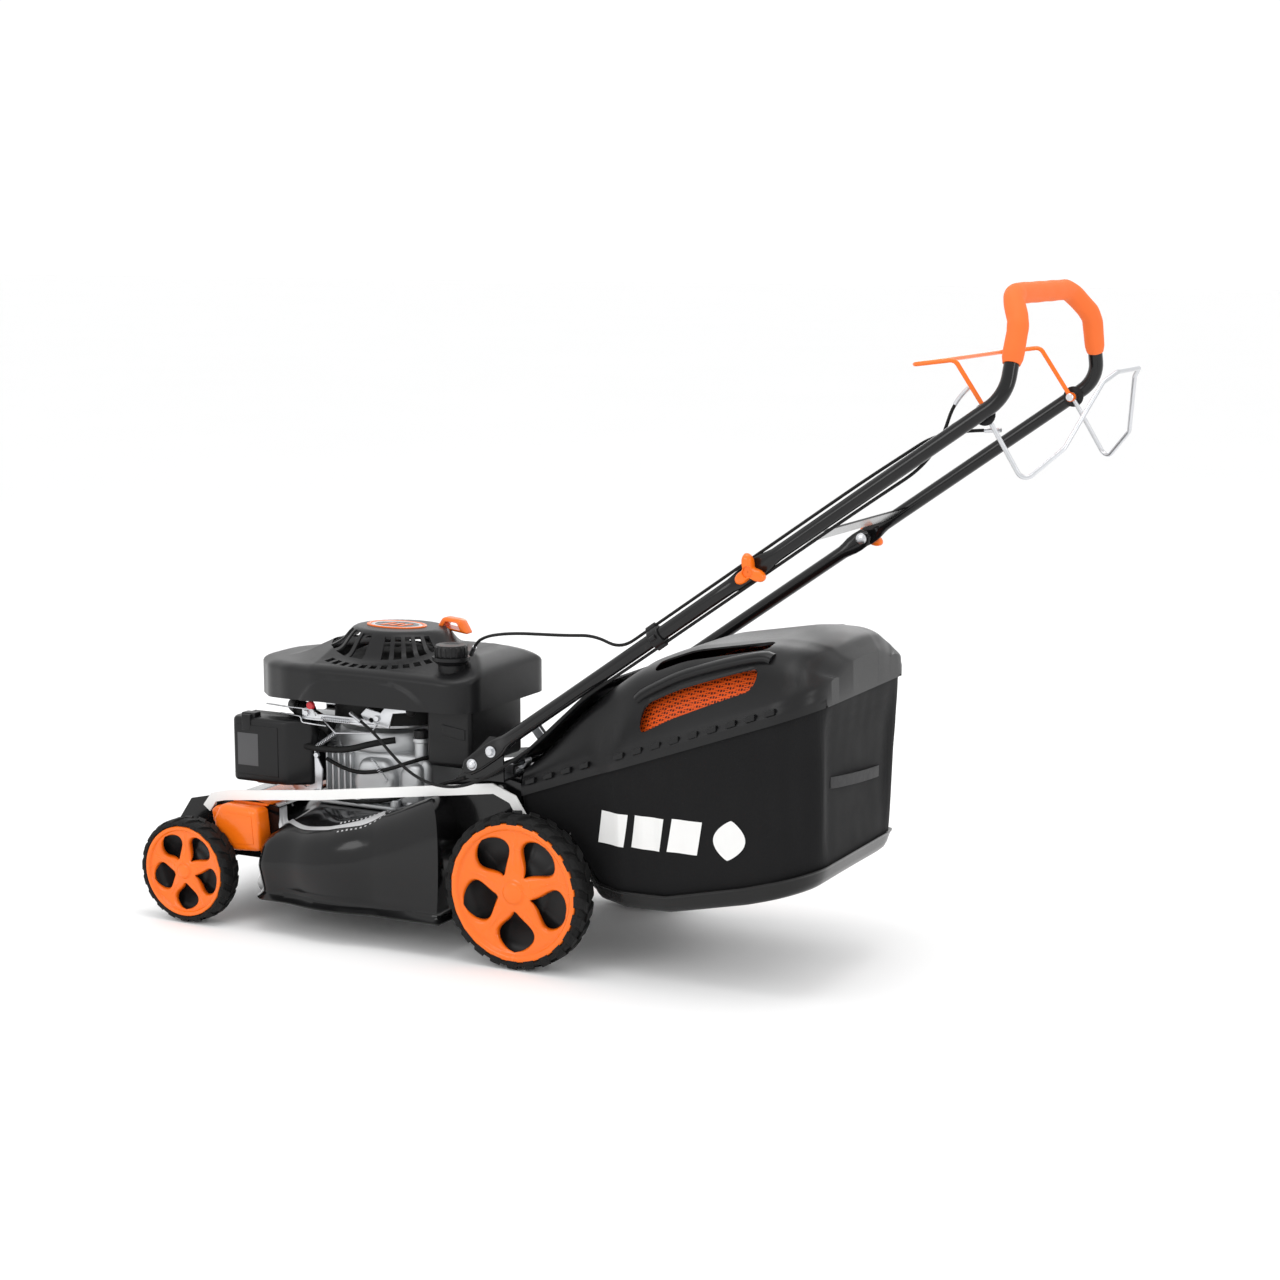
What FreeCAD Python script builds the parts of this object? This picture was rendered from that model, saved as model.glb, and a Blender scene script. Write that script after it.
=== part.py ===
"""Walk-behind petrol lawn mower with a rear grass catcher.

The mower stands on z = 0. +X is its direction of travel, +Y the operator's left and +Z up.
Pieces are drawn from the rear wheel axle line (x = 0); every finished piece is then moved by
origin_shift, so that the origin lies under the middle of the machine's box.
"""
import FreeCAD, Part
import math
import os
import re
from FreeCAD import Placement, Rotation, Vector

doc = FreeCAD.newDocument("lawn_mower")
sheet = doc.addObject("Spreadsheet::Sheet", "Sizes")

SIZES = [
    # placing
    ("origin_shift", 91.6),
    # wheels and axles
    ("wheelbase", 636.6), ("rear_wheel_radius", 127.0), ("front_wheel_radius", 90.0),
    ("rear_tyre_width", 48.0), ("front_tyre_width", 44.0),
    ("rear_wheel_outer", 232.0), ("front_wheel_outer", 244.0),
    ("rear_rim_radius", 113.0), ("front_rim_radius", 78.0), ("hub_radius", 20.0),
    ("axle_radius", 6.5), ("running_gap", 0.1), ("crank_arm", 50.0), ("pivot_shaft_radius", 8.0),
    ("arm_inner", 167.0), ("arm_thickness", 4.0),
    ("bar_inner", 172.0), ("bar_thickness", 3.0), ("bar_height", 17.0),
    ("lever_length", 225.0), ("lever_angle", 50.0),
    # deck
    ("crank_x", 355.0), ("deck_radius", 240.0), ("deck_bottom", 60.0), ("deck_top", 200.0),
    ("deck_wall", 2.0), ("nose_front", 691.0), ("nose_half_width", 158.0),
    ("tunnel_rear", 22.0), ("tunnel_half_width", 158.0), ("tunnel_floor", 190.0), ("tunnel_top", 300.0),
    # cutting and drive train
    ("blade_length", 456.0), ("blade_width", 54.0), ("blade_thickness", 3.5), ("blade_height", 92.0),
    ("crankshaft_radius", 11.0), ("engine_pulley_radius", 26.0), ("drive_pulley_radius", 40.0),
    ("belt_height", 150.0), ("drive_pulley_x", 55.0),
    # engine
    ("case_half_width", 96.0), ("case_top", 318.0), ("cover_half_width", 146.0), ("cover_skirt", 386.0),
    ("cover_wall", 3.0), ("flywheel_radius", 92.0), ("filter_outer", 143.0), ("cap_radius", 28.0),
    ("neck_x", 188.0), ("neck_y", 98.0), ("cap_height", 473.0),
    # handle
    ("handle_y", 217.0), ("handle_radius", 11.0), ("handle_wall", 1.5), ("handle_slope", 35.0),
    ("fold_x", -410.2), ("fold_z", 668.2), ("bail_x", -760.0), ("bail_z", 910.0),
    ("bail_y", 201.0), ("bail_radius", 4.0), ("grip_radius", 15.5), ("tab_thickness", 7.0),
    ("knob_radius", 27.0),
    # grass catcher
    ("rim_front_x", 20.0), ("rim_front_z", 279.0), ("rim_rear_x", -490.0), ("rim_rear_z", 463.0),
    ("cloth", 2.5), ("lid_wall", 3.0), ("tray_height", 28.0),
]
for row, (alias, value) in enumerate(SIZES, start=1):
    sheet.set("A%d" % row, alias)
    sheet.set("B%d" % row, str(value))
    sheet.setAlias("B%d" % row, alias)
doc.recompute()
ALIASES = [alias for alias, _ in SIZES]
NODES = []


def mm(alias):
    """Value of one cell of the sheet."""
    return float(sheet.get(alias))


def bind(obj, prop, text):
    """Bind a property to a formula in which every alias stands for its cell."""
    def cell(match):
        word = match.group(0)
        return "Sizes." + word if word in ALIASES else word
    obj.setExpression(prop, re.sub(r"[a-z_]+", cell, str(text)))


AXES = {
    "x": Rotation(Vector(0, 1, 0), 90),
    "y": Rotation(Vector(1, 0, 0), -90),
    "z": Rotation(),
}


def place(obj, at, turn=None):
    """Put an object at a point given as three formulas."""
    obj.Placement = Placement(Vector(), turn or Rotation())
    for letter, text in zip("xyz", at):
        bind(obj, "Placement.Base." + letter, text)
    return obj


def cylinder(name, radius, length, at, axis="z"):
    obj = doc.addObject("Part::Cylinder", name)
    bind(obj, "Radius", radius)
    bind(obj, "Height", length)
    return place(obj, at, AXES[axis])


def cone(name, radius1, radius2, length, at, axis="z"):
    obj = doc.addObject("Part::Cone", name)
    bind(obj, "Radius1", radius1)
    bind(obj, "Radius2", radius2)
    bind(obj, "Height", length)
    return place(obj, at, AXES[axis])


def box(name, length, width, height, at, turn=None):
    obj = doc.addObject("Part::Box", name)
    bind(obj, "Length", length)
    bind(obj, "Width", width)
    bind(obj, "Height", height)
    return place(obj, at, turn)


def fuse(name, pieces):
    obj = doc.addObject("Part::MultiFuse", name)
    obj.Shapes = pieces
    return obj


def cut(name, base, tool):
    obj = doc.addObject("Part::Cut", name)
    obj.Base = base
    obj.Tool = tool
    return obj


def ring(name, outer, inner, length, at, axis="z"):
    """Sleeve: a cylinder with a bore."""
    body = cylinder(name + "_body", outer, length, at, axis)
    bore = cylinder(name + "_bore", inner, length, at, axis)
    return cut(name, body, bore)


def shaped(name, shape):
    """Piece whose outline no primitive gives."""
    obj = doc.addObject("Part::Feature", name)
    obj.Shape = shape
    return obj


def node(label, *pieces):
    """Finished piece: one object with its own Label and Placement."""
    obj = doc.addObject("Part::Compound", label)
    obj.Links = list(pieces)
    obj.Label = label
    bind(obj, "Placement.Base.x", "origin_shift")
    NODES.append(obj)
    return obj


def slab(points, low, high, plane="xz"):
    """Polygon drawn in the side view (or plan) and pushed from low to high across it."""
    if plane == "xz":
        corners = [Vector(a, low, b) for a, b in points]
        push = Vector(0, high - low, 0)
    else:
        corners = [Vector(a, b, low) for a, b in points]
        push = Vector(0, 0, high - low)
    face = Part.Face(Part.makePolygon(corners + corners[:1]))
    return face.extrude(push)


def bar_outline(points, height):
    """Outline of a flat bar of the given height along a centre line in the side view."""
    upper, lower = [], []
    for index, (x, z) in enumerate(points):
        x0, z0 = points[max(index - 1, 0)]
        x1, z1 = points[min(index + 1, len(points) - 1)]
        span = math.hypot(x1 - x0, z1 - z0)
        nx, nz = -(z1 - z0) / span, (x1 - x0) / span
        upper.append((x + nx * height / 2, z + nz * height / 2))
        lower.append((x - nx * height / 2, z - nz * height / 2))
    return upper + lower[::-1]


def rounded_path(points, bend):
    """Straight runs joined by tangent arcs; bend is one radius, or "wide" for the largest."""
    points = [Vector(*p) for p in points]
    edges, start = [], points[0]
    for before, corner, after in zip(points, points[1:], points[2:]):
        first, second = corner - before, after - corner
        turn = first.getAngle(second)
        if turn < 0.01:
            continue
        shorter = min(first.Length, second.Length)
        radius = 0.45 * shorter / math.tan(turn / 2) if bend == "wide" else bend
        reach = radius * math.tan(turn / 2)
        entry = corner - first.normalize() * reach
        leave = corner + second.normalize() * reach
        inward = (second - first).normalize()
        middle = corner + inward * (radius / math.cos(turn / 2) - radius)
        edges.append(Part.LineSegment(start, entry).toShape())
        edges.append(Part.Arc(entry, middle, leave).toShape())
        start = leave
    edges.append(Part.LineSegment(start, points[-1]).toShape())
    return Part.Wire(edges)


def sweep(name, points, bend, radius):
    """Round rod along a path; radius is a formula."""
    wire = rounded_path(points, bend)
    path = shaped(name + "_path", wire)
    section = doc.addObject("Part::Circle", name + "_section")
    bind(section, "Radius", radius)
    start, heading = Vector(*points[0]), Vector(*points[1]) - Vector(*points[0])
    section.Placement = Placement(start, Rotation(Vector(0, 0, 1), heading))
    obj = doc.addObject("Part::Sweep", name)
    obj.Sections = [section]
    obj.Spine = (path, ["Edge%d" % (i + 1) for i in range(len(wire.Edges))])
    obj.Solid = True
    obj.Frenet = False
    return obj


def tube(name, points, bend, radius, wall):
    outer = sweep(name + "_outer", points, bend, radius)
    inner = sweep(name + "_inner", points, bend, "%s - %s" % (radius, wall))
    return cut(name, outer, inner)


def sections_loft(stations):
    """Solid through closed polygons, one for each station."""
    wires = [Part.makePolygon(list(corners) + [corners[0]]) for corners in stations]
    return Part.makeLoft(wires, True, True)


# ---------------------------------------------------------------- deck
def chamber(inset):
    """Blade chamber: flat top, sloping shoulder and upright skirt, turned about the crankshaft."""
    radius, low, top = mm("deck_radius") - inset, mm("deck_bottom"), mm("deck_top") - inset
    if inset:
        low -= 1
    outline = [(0, low), (radius, low), (radius, low + 62), (radius - 16, low + 90),
               (radius - 52, low + 118), (radius - 92, top), (0, top)]
    corners = [Vector(r, 0, z) for r, z in outline]
    face = Part.Face(Part.makePolygon(corners + corners[:1]))
    solid = face.revolve(Vector(), Vector(0, 0, 1), 360)
    solid.translate(Vector(mm("crank_x"), 0, 0))
    return solid


def nose(inset):
    """Front of the deck, between the front wheels."""
    front, top = mm("nose_front") - inset, mm("deck_top") - inset
    low = 106 - (1 if inset else 0)
    outline = [(495, low), (front, low), (front, low + 46), (front - 22, low + 80),
               (front - 95, top), (495, top)]
    return slab(outline, -mm("nose_half_width") + inset, mm("nose_half_width") - inset)


def tunnel(inset):
    """Rear discharge tunnel, from the chamber to the catcher's mouth, over the rear axle."""
    rear, top, floor = mm("tunnel_rear"), mm("tunnel_top") - inset, mm("tunnel_floor") + inset
    if inset:
        rear -= 1
    roof = mm("deck_top") - inset
    outline = [(rear, floor), (150, floor), (150, 120), (250, 120), (250, roof - 2), (214, roof),
               (112, top), (rear, top)]
    solid = slab(outline, -mm("tunnel_half_width") + inset, mm("tunnel_half_width") - inset)
    return solid


def volute(inset):
    """Rounded duct on the chamber's left side that rises towards the rear."""
    start, end = Vector(470, 176, 112), Vector(112, 176, 180)
    radius = 52 - inset
    duct = Part.makeCylinder(radius, (end - start).Length, start, end - start)
    duct = duct.fuse(Part.makeSphere(radius, start))
    return duct.cut(Part.makeBox(200, 400, 400, Vector(-62 + inset, 0, 0)))


def deck_shell():
    outer = chamber(0).fuse([nose(0), tunnel(0), volute(0)])
    wall = mm("deck_wall")
    inner = chamber(wall).fuse([nose(wall), tunnel(wall), volute(wall)])
    crank_x, top = mm("crank_x"), mm("deck_top")
    below = Part.makeBox(900, 600, mm("deck_bottom"), Vector(-100, -300, 0))
    shaft_hole = Part.makeCylinder(24, 20, Vector(crank_x, 0, top - 10))
    belt_slot = Part.makeBox(80, 110, 24, Vector(80, -55, mm("belt_height") - 12))
    axle_notch = Part.makeBox(32, 400, 22, Vector(623, -200, 100))
    shell = outer.cut([inner, below, shaft_hole, belt_slot, axle_notch]).removeSplitter()
    return max(shell.Solids, key=lambda solid: solid.Volume)


node("deck_shell", shaped("deck_pressing", deck_shell()))


def front_cover():
    """Moulded cover across the nose, with a hollow ear in front of each side rail."""
    strap = Part.makeBox(70, 398, 3, Vector(515, -199, 200.5))
    for side in (-1, 1):
        low, high = sorted((side * 159.0, side * 199.0))
        ear = slab([(506, 128), (600, 122), (604, 180), (590, 203.5), (512, 200.5)], low, high)
        low, high = sorted((side * 158.0, side * 196.0))
        hollow = slab([(509, 110), (597, 110), (600, 179), (587, 200.5), (515, 197.5)], low, high)
        strap = strap.fuse(ear.cut(hollow))
    return strap.cut([chamber(-1.6), volute(-0.6), nose(-0.4)])


node("front_cover", shaped("cover_moulding", front_cover()))


def side_rail(side):
    """Flat white rail beside the deck, bent down at both ends, on two spacers."""
    line = [(634, 187), (619, 207), (594, 213), (403, 233), (66, 279), (30, 265), (2, 222)]
    low, high = sorted((side * mm("bar_inner"), side * (mm("bar_inner") + mm("bar_thickness"))))
    rail = slab(bar_outline(line, mm("bar_height")), low, high)
    foot = min(158.2 * side, mm("bar_inner") * side)
    front = Part.makeCylinder(5, mm("bar_inner") - 158.2, Vector(628, foot, 193), Vector(0, 1, 0))
    rear = Part.makeCylinder(5, mm("bar_inner") - 158.2, Vector(60, foot, 278), Vector(0, 1, 0))
    return rail.fuse([front, rear])


node("side_rails", shaped("rail_left", side_rail(1)), shaped("rail_right", side_rail(-1)))


def handle_bracket(side):
    """Pressed steel foot on the tunnel with an upright cheek for the lower handle."""
    low, high = sorted((side * 96.0, side * 208.5))
    foot = slab([(26, 300.3), (96, 300.3), (96, 304), (26, 304)], low, high)
    low, high = sorted((side * 204.5, side * 208.5))
    cheek = slab([(26, 300.3), (96, 300.3), (100, 324), (52, 372), (28, 372)], low, high)
    return foot.fuse(cheek)


node("handle_brackets", shaped("bracket_left", handle_bracket(1)),
     shaped("bracket_right", handle_bracket(-1)))


# ---------------------------------------------------------------- axles and wheels
def axle(name, wheel_x, radius, outer, lever):
    """Cranked axle: pivot shaft, two arms and the stub axles that carry the wheels."""
    half = outer + "- 9.5"
    pivot_x = wheel_x + "+ crank_arm"
    pieces = [
        cylinder(name + "_pivot", "pivot_shaft_radius", "2 * arm_inner + 2 * arm_thickness",
                 (pivot_x, "-arm_inner - arm_thickness", radius), "y"),
        cylinder(name + "_shaft", "axle_radius", "2 * (%s)" % half, (wheel_x, "-(%s)" % half, radius), "y"),
    ]
    for side, low in (("left", "arm_inner"), ("right", "-arm_inner - arm_thickness")):
        pieces.append(box(name + "_arm_" + side, "crank_arm", "arm_thickness", "26",
                          (wheel_x, low, radius + "- 13")))
        for end, where in (("tip", wheel_x), ("root", pivot_x)):
            pieces.append(cylinder("%s_%s_%s" % (name, end, side), "13", "arm_thickness",
                                   (where, low, radius), "y"))
    return fuse(name + "_weldment", pieces + lever)


def lever_parts():
    """Height lever on the right-hand arm, with its knob."""
    turn = Rotation(Vector(0, 1, 0), -mm("lever_angle"))
    corner = ("crank_arm", "-arm_inner - arm_thickness - 9", "rear_wheel_radius")
    blade = box("lever_strip", "lever_length", "3", "16", corner, turn)
    root = cylinder("lever_root", "12", "9", corner, "y")
    return [blade, root]


node("rear_axle", axle("rear_axle", "0", "rear_wheel_radius", "rear_wheel_outer", lever_parts()))
node("front_axle", axle("front_axle", "wheelbase", "front_wheel_radius", "front_wheel_outer", []))


def lever_grip():
    angle = math.radians(mm("lever_angle"))
    reach = mm("lever_length") - 42
    rise = Vector(math.cos(angle), 0, math.sin(angle))
    across = Vector(-rise.z, 0, rise.x)
    start = Vector(mm("crank_arm"), -mm("arm_inner") - mm("arm_thickness") - 7.5, mm("rear_wheel_radius"))
    grip = Part.makeCylinder(9, 60, start + rise * reach + across * 8 + Vector(0, -7.5, 0), rise)
    strip = Part.makeBox(mm("lever_length"), 3, 16, Vector(0, -1.5, 0))
    strip.rotate(Vector(), Vector(0, 1, 0), -mm("lever_angle"))
    strip.translate(start)
    return grip.cut(strip)


node("height_lever_grip", shaped("grip_moulding", lever_grip()))


def bushes():
    """Pivot bushes in their housings, bolted to the deck beside the arms."""
    solids = []
    for x, z, top in ((mm("crank_arm"), mm("rear_wheel_radius"), mm("tunnel_floor")),
                      (mm("wheelbase") + mm("crank_arm"), mm("front_wheel_radius"), 106)):
        for y in (-150, 136):
            block = Part.makeBox(16, 14, top - z, Vector(x - 8, y, z))
            block = block.fuse(Part.makeCylinder(14, 14, Vector(x, y, z), Vector(0, 1, 0)))
            bore = Part.makeCylinder(mm("pivot_shaft_radius") + 0.05, 14, Vector(x, y, z), Vector(0, 1, 0))
            solids.append(block.cut(bore))
    return Part.Compound(solids)


node("axle_bushes", shaped("bush_blocks", bushes()))


def rim(x, side, radius, outer_face, width):
    """Moulded wheel: outer lip, five flared spokes, hub and an inner drum."""
    centre_z = mm("front_wheel_radius") if x else mm("rear_wheel_radius")
    hub, bore = mm("hub_radius"), mm("axle_radius") + mm("running_gap") / 2
    drum = Part.makeCylinder(radius, width - 8).cut(Part.makeCylinder(radius - 5, width - 8))
    solid = drum.fuse(Part.makeCylinder(hub, width - 5))
    for index in range(5):
        angle = math.radians(90 + 72 * index)
        along = Vector(math.cos(angle), math.sin(angle), 0)
        across = Vector(-math.sin(angle), math.cos(angle), 0)
        corners = [along * 8 - across * 8, along * (radius - 3) - across * radius * 0.27,
                   along * (radius - 3) + across * radius * 0.27, along * 8 + across * 8]
        spoke = Part.Face(Part.makePolygon(corners + corners[:1])).extrude(Vector(0, 0, 7))
        spoke.translate(Vector(0, 0, width - 18))
        solid = solid.fuse(spoke)
    solid = solid.common(Part.makeCylinder(radius, width))
    solid = solid.cut(Part.makeCylinder(bore, width - 9))
    if side > 0:
        solid.rotate(Vector(), Vector(1, 0, 0), -90)
    else:
        solid.rotate(Vector(), Vector(1, 0, 0), 90)
    solid.translate(Vector(x, side * (outer_face - width), centre_z))
    return solid


def tyre(x, side, rim_radius, outer_face, width, lugs):
    """Solid tyre with a smooth carcass and a ring of tread blocks."""
    radius = mm("front_wheel_radius") if x else mm("rear_wheel_radius")
    depth = radius * 0.035
    carcass = Part.makeCylinder(radius - depth, width)
    low, high = sorted((side * outer_face, side * (outer_face - width)))
    carcass.rotate(Vector(), Vector(1, 0, 0), -90)
    carcass.translate(Vector(0, low, 0))
    block_length = 2 * math.pi * radius / lugs * 0.62
    blocks = []
    for index in range(lugs):
        block = Part.makeBox(block_length, width - 6, 2 * depth,
                             Vector(-block_length / 2, low + 3, -radius + 0.02))
        block.rotate(Vector(), Vector(0, 1, 0), 360 * index / lugs)
        blocks.append(block)
    solid = carcass.fuse(blocks).common(Part.makeCylinder(radius, width, Vector(0, low, 0), Vector(0, 1, 0)))
    solid = solid.cut(Part.makeCylinder(rim_radius, width + 2, Vector(0, low - 1, 0), Vector(0, 1, 0)))
    solid.translate(Vector(x, 0, radius))
    return solid


WHEELS = [
    ("rear", 0.0, "rear_rim_radius", "rear_wheel_outer", "rear_tyre_width", 24),
    ("front", mm("wheelbase"), "front_rim_radius", "front_wheel_outer", "front_tyre_width", 20),
]
for end, x, rim_size, face, width, lugs in WHEELS:
    for side_name, side in (("left", 1), ("right", -1)):
        wheel = "%s_%s" % (end, side_name)
        rim_shape = rim(x, side, mm(rim_size), mm(face), mm(width))
        tyre_shape = tyre(x, side, mm(rim_size), mm(face), mm(width), lugs)
        node(wheel + "_rim", shaped(wheel + "_rim_moulding", rim_shape))
        node(wheel + "_tyre", shaped(wheel + "_tyre_moulding", tyre_shape))


# ---------------------------------------------------------------- blade and drive
node("crankshaft", cylinder("crankshaft_bar", "crankshaft_radius", "case_top + 62 - blade_height - 8",
                            ("crank_x", "0", "blade_height + 8")))
node("blade_adapter", ring("adapter", "24", "crankshaft_radius", "26",
                           ("crank_x", "0", "blade_height + blade_thickness + 6")))
node("blade_bolt", fuse("blade_bolt_parts", [
    cylinder("bolt_head", "9", "8", ("crank_x", "0", "blade_height - 11")),
    cylinder("bolt_washer", "17", "3", ("crank_x", "0", "blade_height - 3")),
    cylinder("bolt_shank", "4.9", "10", ("crank_x", "0", "blade_height - 2")),
]))


def blade():
    """Mulching blade: flat bar with raised, turned-up trailing wings."""
    half, width = mm("blade_length") / 2, mm("blade_width") / 2
    thick = mm("blade_thickness")
    flat = Part.makeBox(2 * half, 2 * width, thick, Vector(-half, -width, 0))
    for side in (-1, 1):
        wing = Part.makeBox(70, 20, thick, Vector(-35, 0, 0))
        wing.rotate(Vector(), Vector(1, 0, 0), 40)
        wing.translate(Vector(half - 37, width - 2, 0.6))
        if side < 0:
            wing.rotate(Vector(), Vector(0, 0, 1), 180)
        flat = flat.fuse(wing)
    flat = flat.fuse(Part.makeCylinder(24, 6, Vector(0, 0, 0)))
    flat = flat.common(Part.makeCylinder(half, 40, Vector(0, 0, -1)))
    flat = flat.cut(Part.makeCylinder(5, 30, Vector(0, 0, -1)))
    flat.translate(Vector(mm("crank_x"), 0, mm("blade_height")))
    return flat


node("blade", shaped("blade_bar", blade()))


def pulley(name, radius, bore, x):
    """V-belt pulley: two coned cheeks on a hub."""
    rim_parts = [
        cone(name + "_lower", radius, radius + "- 6", "5", (x, "0", "belt_height - 5")),
        cone(name + "_upper", radius + "- 6", radius, "5", (x, "0", "belt_height")),
        cylinder(name + "_hub", bore + "+ 5", "18", (x, "0", "belt_height - 9")),
    ]
    return cut(name + "_turned", fuse(name + "_blank", rim_parts),
               cylinder(name + "_hole", bore, "40", (x, "0", "belt_height - 20")))


node("engine_pulley", pulley("engine_pulley", "engine_pulley_radius", "crankshaft_radius", "crank_x"))
node("transmission_pulley", pulley("drive_pulley", "drive_pulley_radius", "6", "drive_pulley_x"))


def belt():
    """Flat ribbon round both pulleys."""
    def loop(grow):
        small, large = mm("engine_pulley_radius") - 2.8 + grow, mm("drive_pulley_radius") - 2.8 + grow
        x0, x1 = mm("drive_pulley_x"), mm("crank_x")
        tilt = math.asin((large - small) / (x1 - x0))
        sx, sy = math.sin(tilt), math.cos(tilt)
        low0, high0 = Vector(x0 + large * sx, -large * sy, 0), Vector(x0 + large * sx, large * sy, 0)
        low1, high1 = Vector(x1 + small * sx, -small * sy, 0), Vector(x1 + small * sx, small * sy, 0)
        edges = [
            Part.LineSegment(low0, low1).toShape(),
            Part.Arc(low1, Vector(x1 + small, 0, 0), high1).toShape(),
            Part.LineSegment(high1, high0).toShape(),
            Part.Arc(high0, Vector(x0 - large, 0, 0), low0).toShape(),
        ]
        return Part.Face(Part.Wire(edges)).extrude(Vector(0, 0, 5))
    ribbon = loop(5).cut(loop(0))
    ribbon.translate(Vector(0, 0, mm("belt_height") - 2.5))
    return ribbon


node("drive_belt", shaped("belt_ribbon", belt()))


def transmission():
    """Gearbox between the axle and the pivot shaft, with the input shaft for its pulley."""
    axle_z = mm("rear_wheel_radius")
    case = Part.makeBox(86, 56, 40, Vector(-20, -28, axle_z - 24))
    case = case.fuse(Part.makeCylinder(27, 70, Vector(0, -35, axle_z), Vector(0, 1, 0)))
    shaft = Part.makeCylinder(5.9, 34, Vector(mm("drive_pulley_x"), 0, axle_z + 2))
    case = case.common(Part.makeBox(200, 200, 40, Vector(-80, -100, axle_z - 27))).fuse(shaft)
    for x, radius in ((0, mm("axle_radius")), (mm("crank_arm"), mm("pivot_shaft_radius"))):
        case = case.cut(Part.makeCylinder(radius + 0.05, 120, Vector(x, -60, axle_z), Vector(0, 1, 0)))
    return case


node("transmission", shaped("gearbox", transmission()))

# ---------------------------------------------------------------- engine
def crankcase():
    """Cast crankcase on the deck, with the oil filler neck and the crankshaft bore."""
    half, top, x = mm("case_half_width"), mm("case_top"), mm("crank_x")
    block = Part.makeBox(208, 2 * half, 92, Vector(232, -half, 208))
    block = block.fuse(Part.makeBox(236, 2 * half + 20, 8, Vector(218, -half - 10, mm("deck_top"))))
    block = block.fuse(Part.makeCylinder(half, top - 300, Vector(x, 0, 300)))
    for y in (-62, -20, 22, 64):
        block = block.fuse(Part.makeBox(200, 4, 12, Vector(236, y, 296)))
    neck = Part.makeCylinder(12, 40, Vector(256, 84, 288))
    block = block.cut(Part.makeBox(60, 300, 200, Vector(439.5, -150, 209)))
    block = block.fuse(neck).cut(Part.makeCylinder(4, 130, Vector(256, 84, 214)))
    return block.cut(Part.makeCylinder(mm("crankshaft_radius") + 0.05, 200, Vector(x, 0, 150)))


node("engine_crankcase", shaped("crankcase_casting", crankcase()))


def cylinder_block():
    """Finned barrel and head, lying forwards from the crankcase."""
    solid = Part.makeCylinder(38, 146, Vector(440, 0, 284), Vector(1, 0, 0))
    for index in range(12):
        solid = solid.fuse(Part.makeBox(2.5, 104, 100, Vector(446 + 11 * index, -52, 234)))
    return solid.fuse(Part.makeBox(16, 84, 84, Vector(572, -42, 242)))


node("engine_cylinder", shaped("cylinder_casting", cylinder_block()))
node("spark_plug", fuse("plug_parts", [
    cylinder("plug_body", "7", "22", ("588", "0", "284"), "x"),
    cylinder("plug_cap", "10", "26", ("604", "0", "284"), "x"),
]))
node("muffler", fuse("muffler_parts", [
    box("muffler_can", "104", "72", "78", ("456", "-134", "244")),
    cylinder("exhaust_neck", "12", "10", ("500", "-62", "284"), "y"),
]))


def muffler_guard():
    """Pierced sheet guard outside the muffler."""
    outer = Part.makeBox(120, 50, 94, Vector(448, -144, 236))
    shell = outer.cut(Part.makeBox(116, 50, 90, Vector(450, -142, 238)))
    for index in range(6):
        shell = shell.cut(Part.makeBox(8, 10, 60, Vector(462 + 17 * index, -146, 252)))
    return shell


node("muffler_guard", shaped("guard_pressing", muffler_guard()))
node("carburettor", fuse("carburettor_parts", [
    box("carb_body", "42", "19.5", "40", ("474", "52.3", "272")),
    cylinder("carb_bowl", "9", "22", ("494", "62", "250")),
    cylinder("carb_throat", "16", "19.5", ("494", "52.3", "292"), "y"),
]))
node("air_filter_base", box("filter_plate", "148", "25", "108", ("453", "72", "235")))


def filter_cover():
    """Box-shaped cover, open towards its base, with slanted ends and a clip tab on top."""
    low, high = 97.5, mm("filter_outer")
    outer = slab([(450, low), (604, low), (600, high), (500, high), (462, high - 12)], 232, 346, "xy")
    inner = slab([(453, low - 1), (601, low - 1), (597, high - 3), (501, high - 3), (465, high - 15)],
                 235, 343, "xy")
    tab = Part.makeBox(26, 22, 5, Vector(538, 100, 345.5))
    return outer.cut(inner).fuse(tab)


node("air_filter_cover", shaped("filter_lid_moulding", filter_cover()))
node("fuel_tank", fuse("tank_parts", [
    box("tank_body", "90", "174", "148", ("140", "-58", "288")),
    cylinder("tank_neck", "13", "50", ("neck_x", "neck_y", "cap_height - 46")),
]))
node("fuel_cap", cut("fuel_cap_turned",
    cylinder("fuel_cap_disc", "cap_radius", "21", ("neck_x", "neck_y", "cap_height")),
    cylinder("fuel_cap_recess", "14", "8", ("neck_x", "neck_y", "cap_height"))))
node("oil_cap", fuse("oil_cap_parts", [
    cylinder("oil_cap_knob", "15", "14", ("256", "84", "328.4")),
    cylinder("oil_dipstick", "2.5", "104", ("256", "84", "225")),
]))


def cover_block(inset):
    """Blower cover seen from the side, from above and from the front, cut from one block."""
    skirt = mm("cover_skirt") - (1 if inset else 0)
    half = mm("cover_half_width") - inset
    side = [(132 + inset, skirt), (420, skirt), (598 - inset, 374), (604 - inset, 388), (572 - inset, 434),
            (472, 482 - inset), (400, 498 - inset), (310, 498 - inset), (252, 479 - inset),
            (132 + inset, 459 - inset)]
    plan = [(132 + inset, -110), (132 + inset, 118), (168 + inset, half), (430, half), (545 - inset, 108),
            (604 - inset, 42), (604 - inset, -42), (545 - inset, -108), (430, -half), (168 + inset, -half)]
    front = [(-half, 360), (half, 360), (half, 436), (half - 44, 500 - inset),
             (-half + 44, 500 - inset), (-half, 436)]
    solid = slab(side, -200, 200).common(slab(plan, 300, 600, "xy"))
    corners = [Vector(100, y, z) for y, z in front]
    return solid.common(Part.Face(Part.makePolygon(corners + corners[:1])).extrude(Vector(600, 0, 0)))


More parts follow.
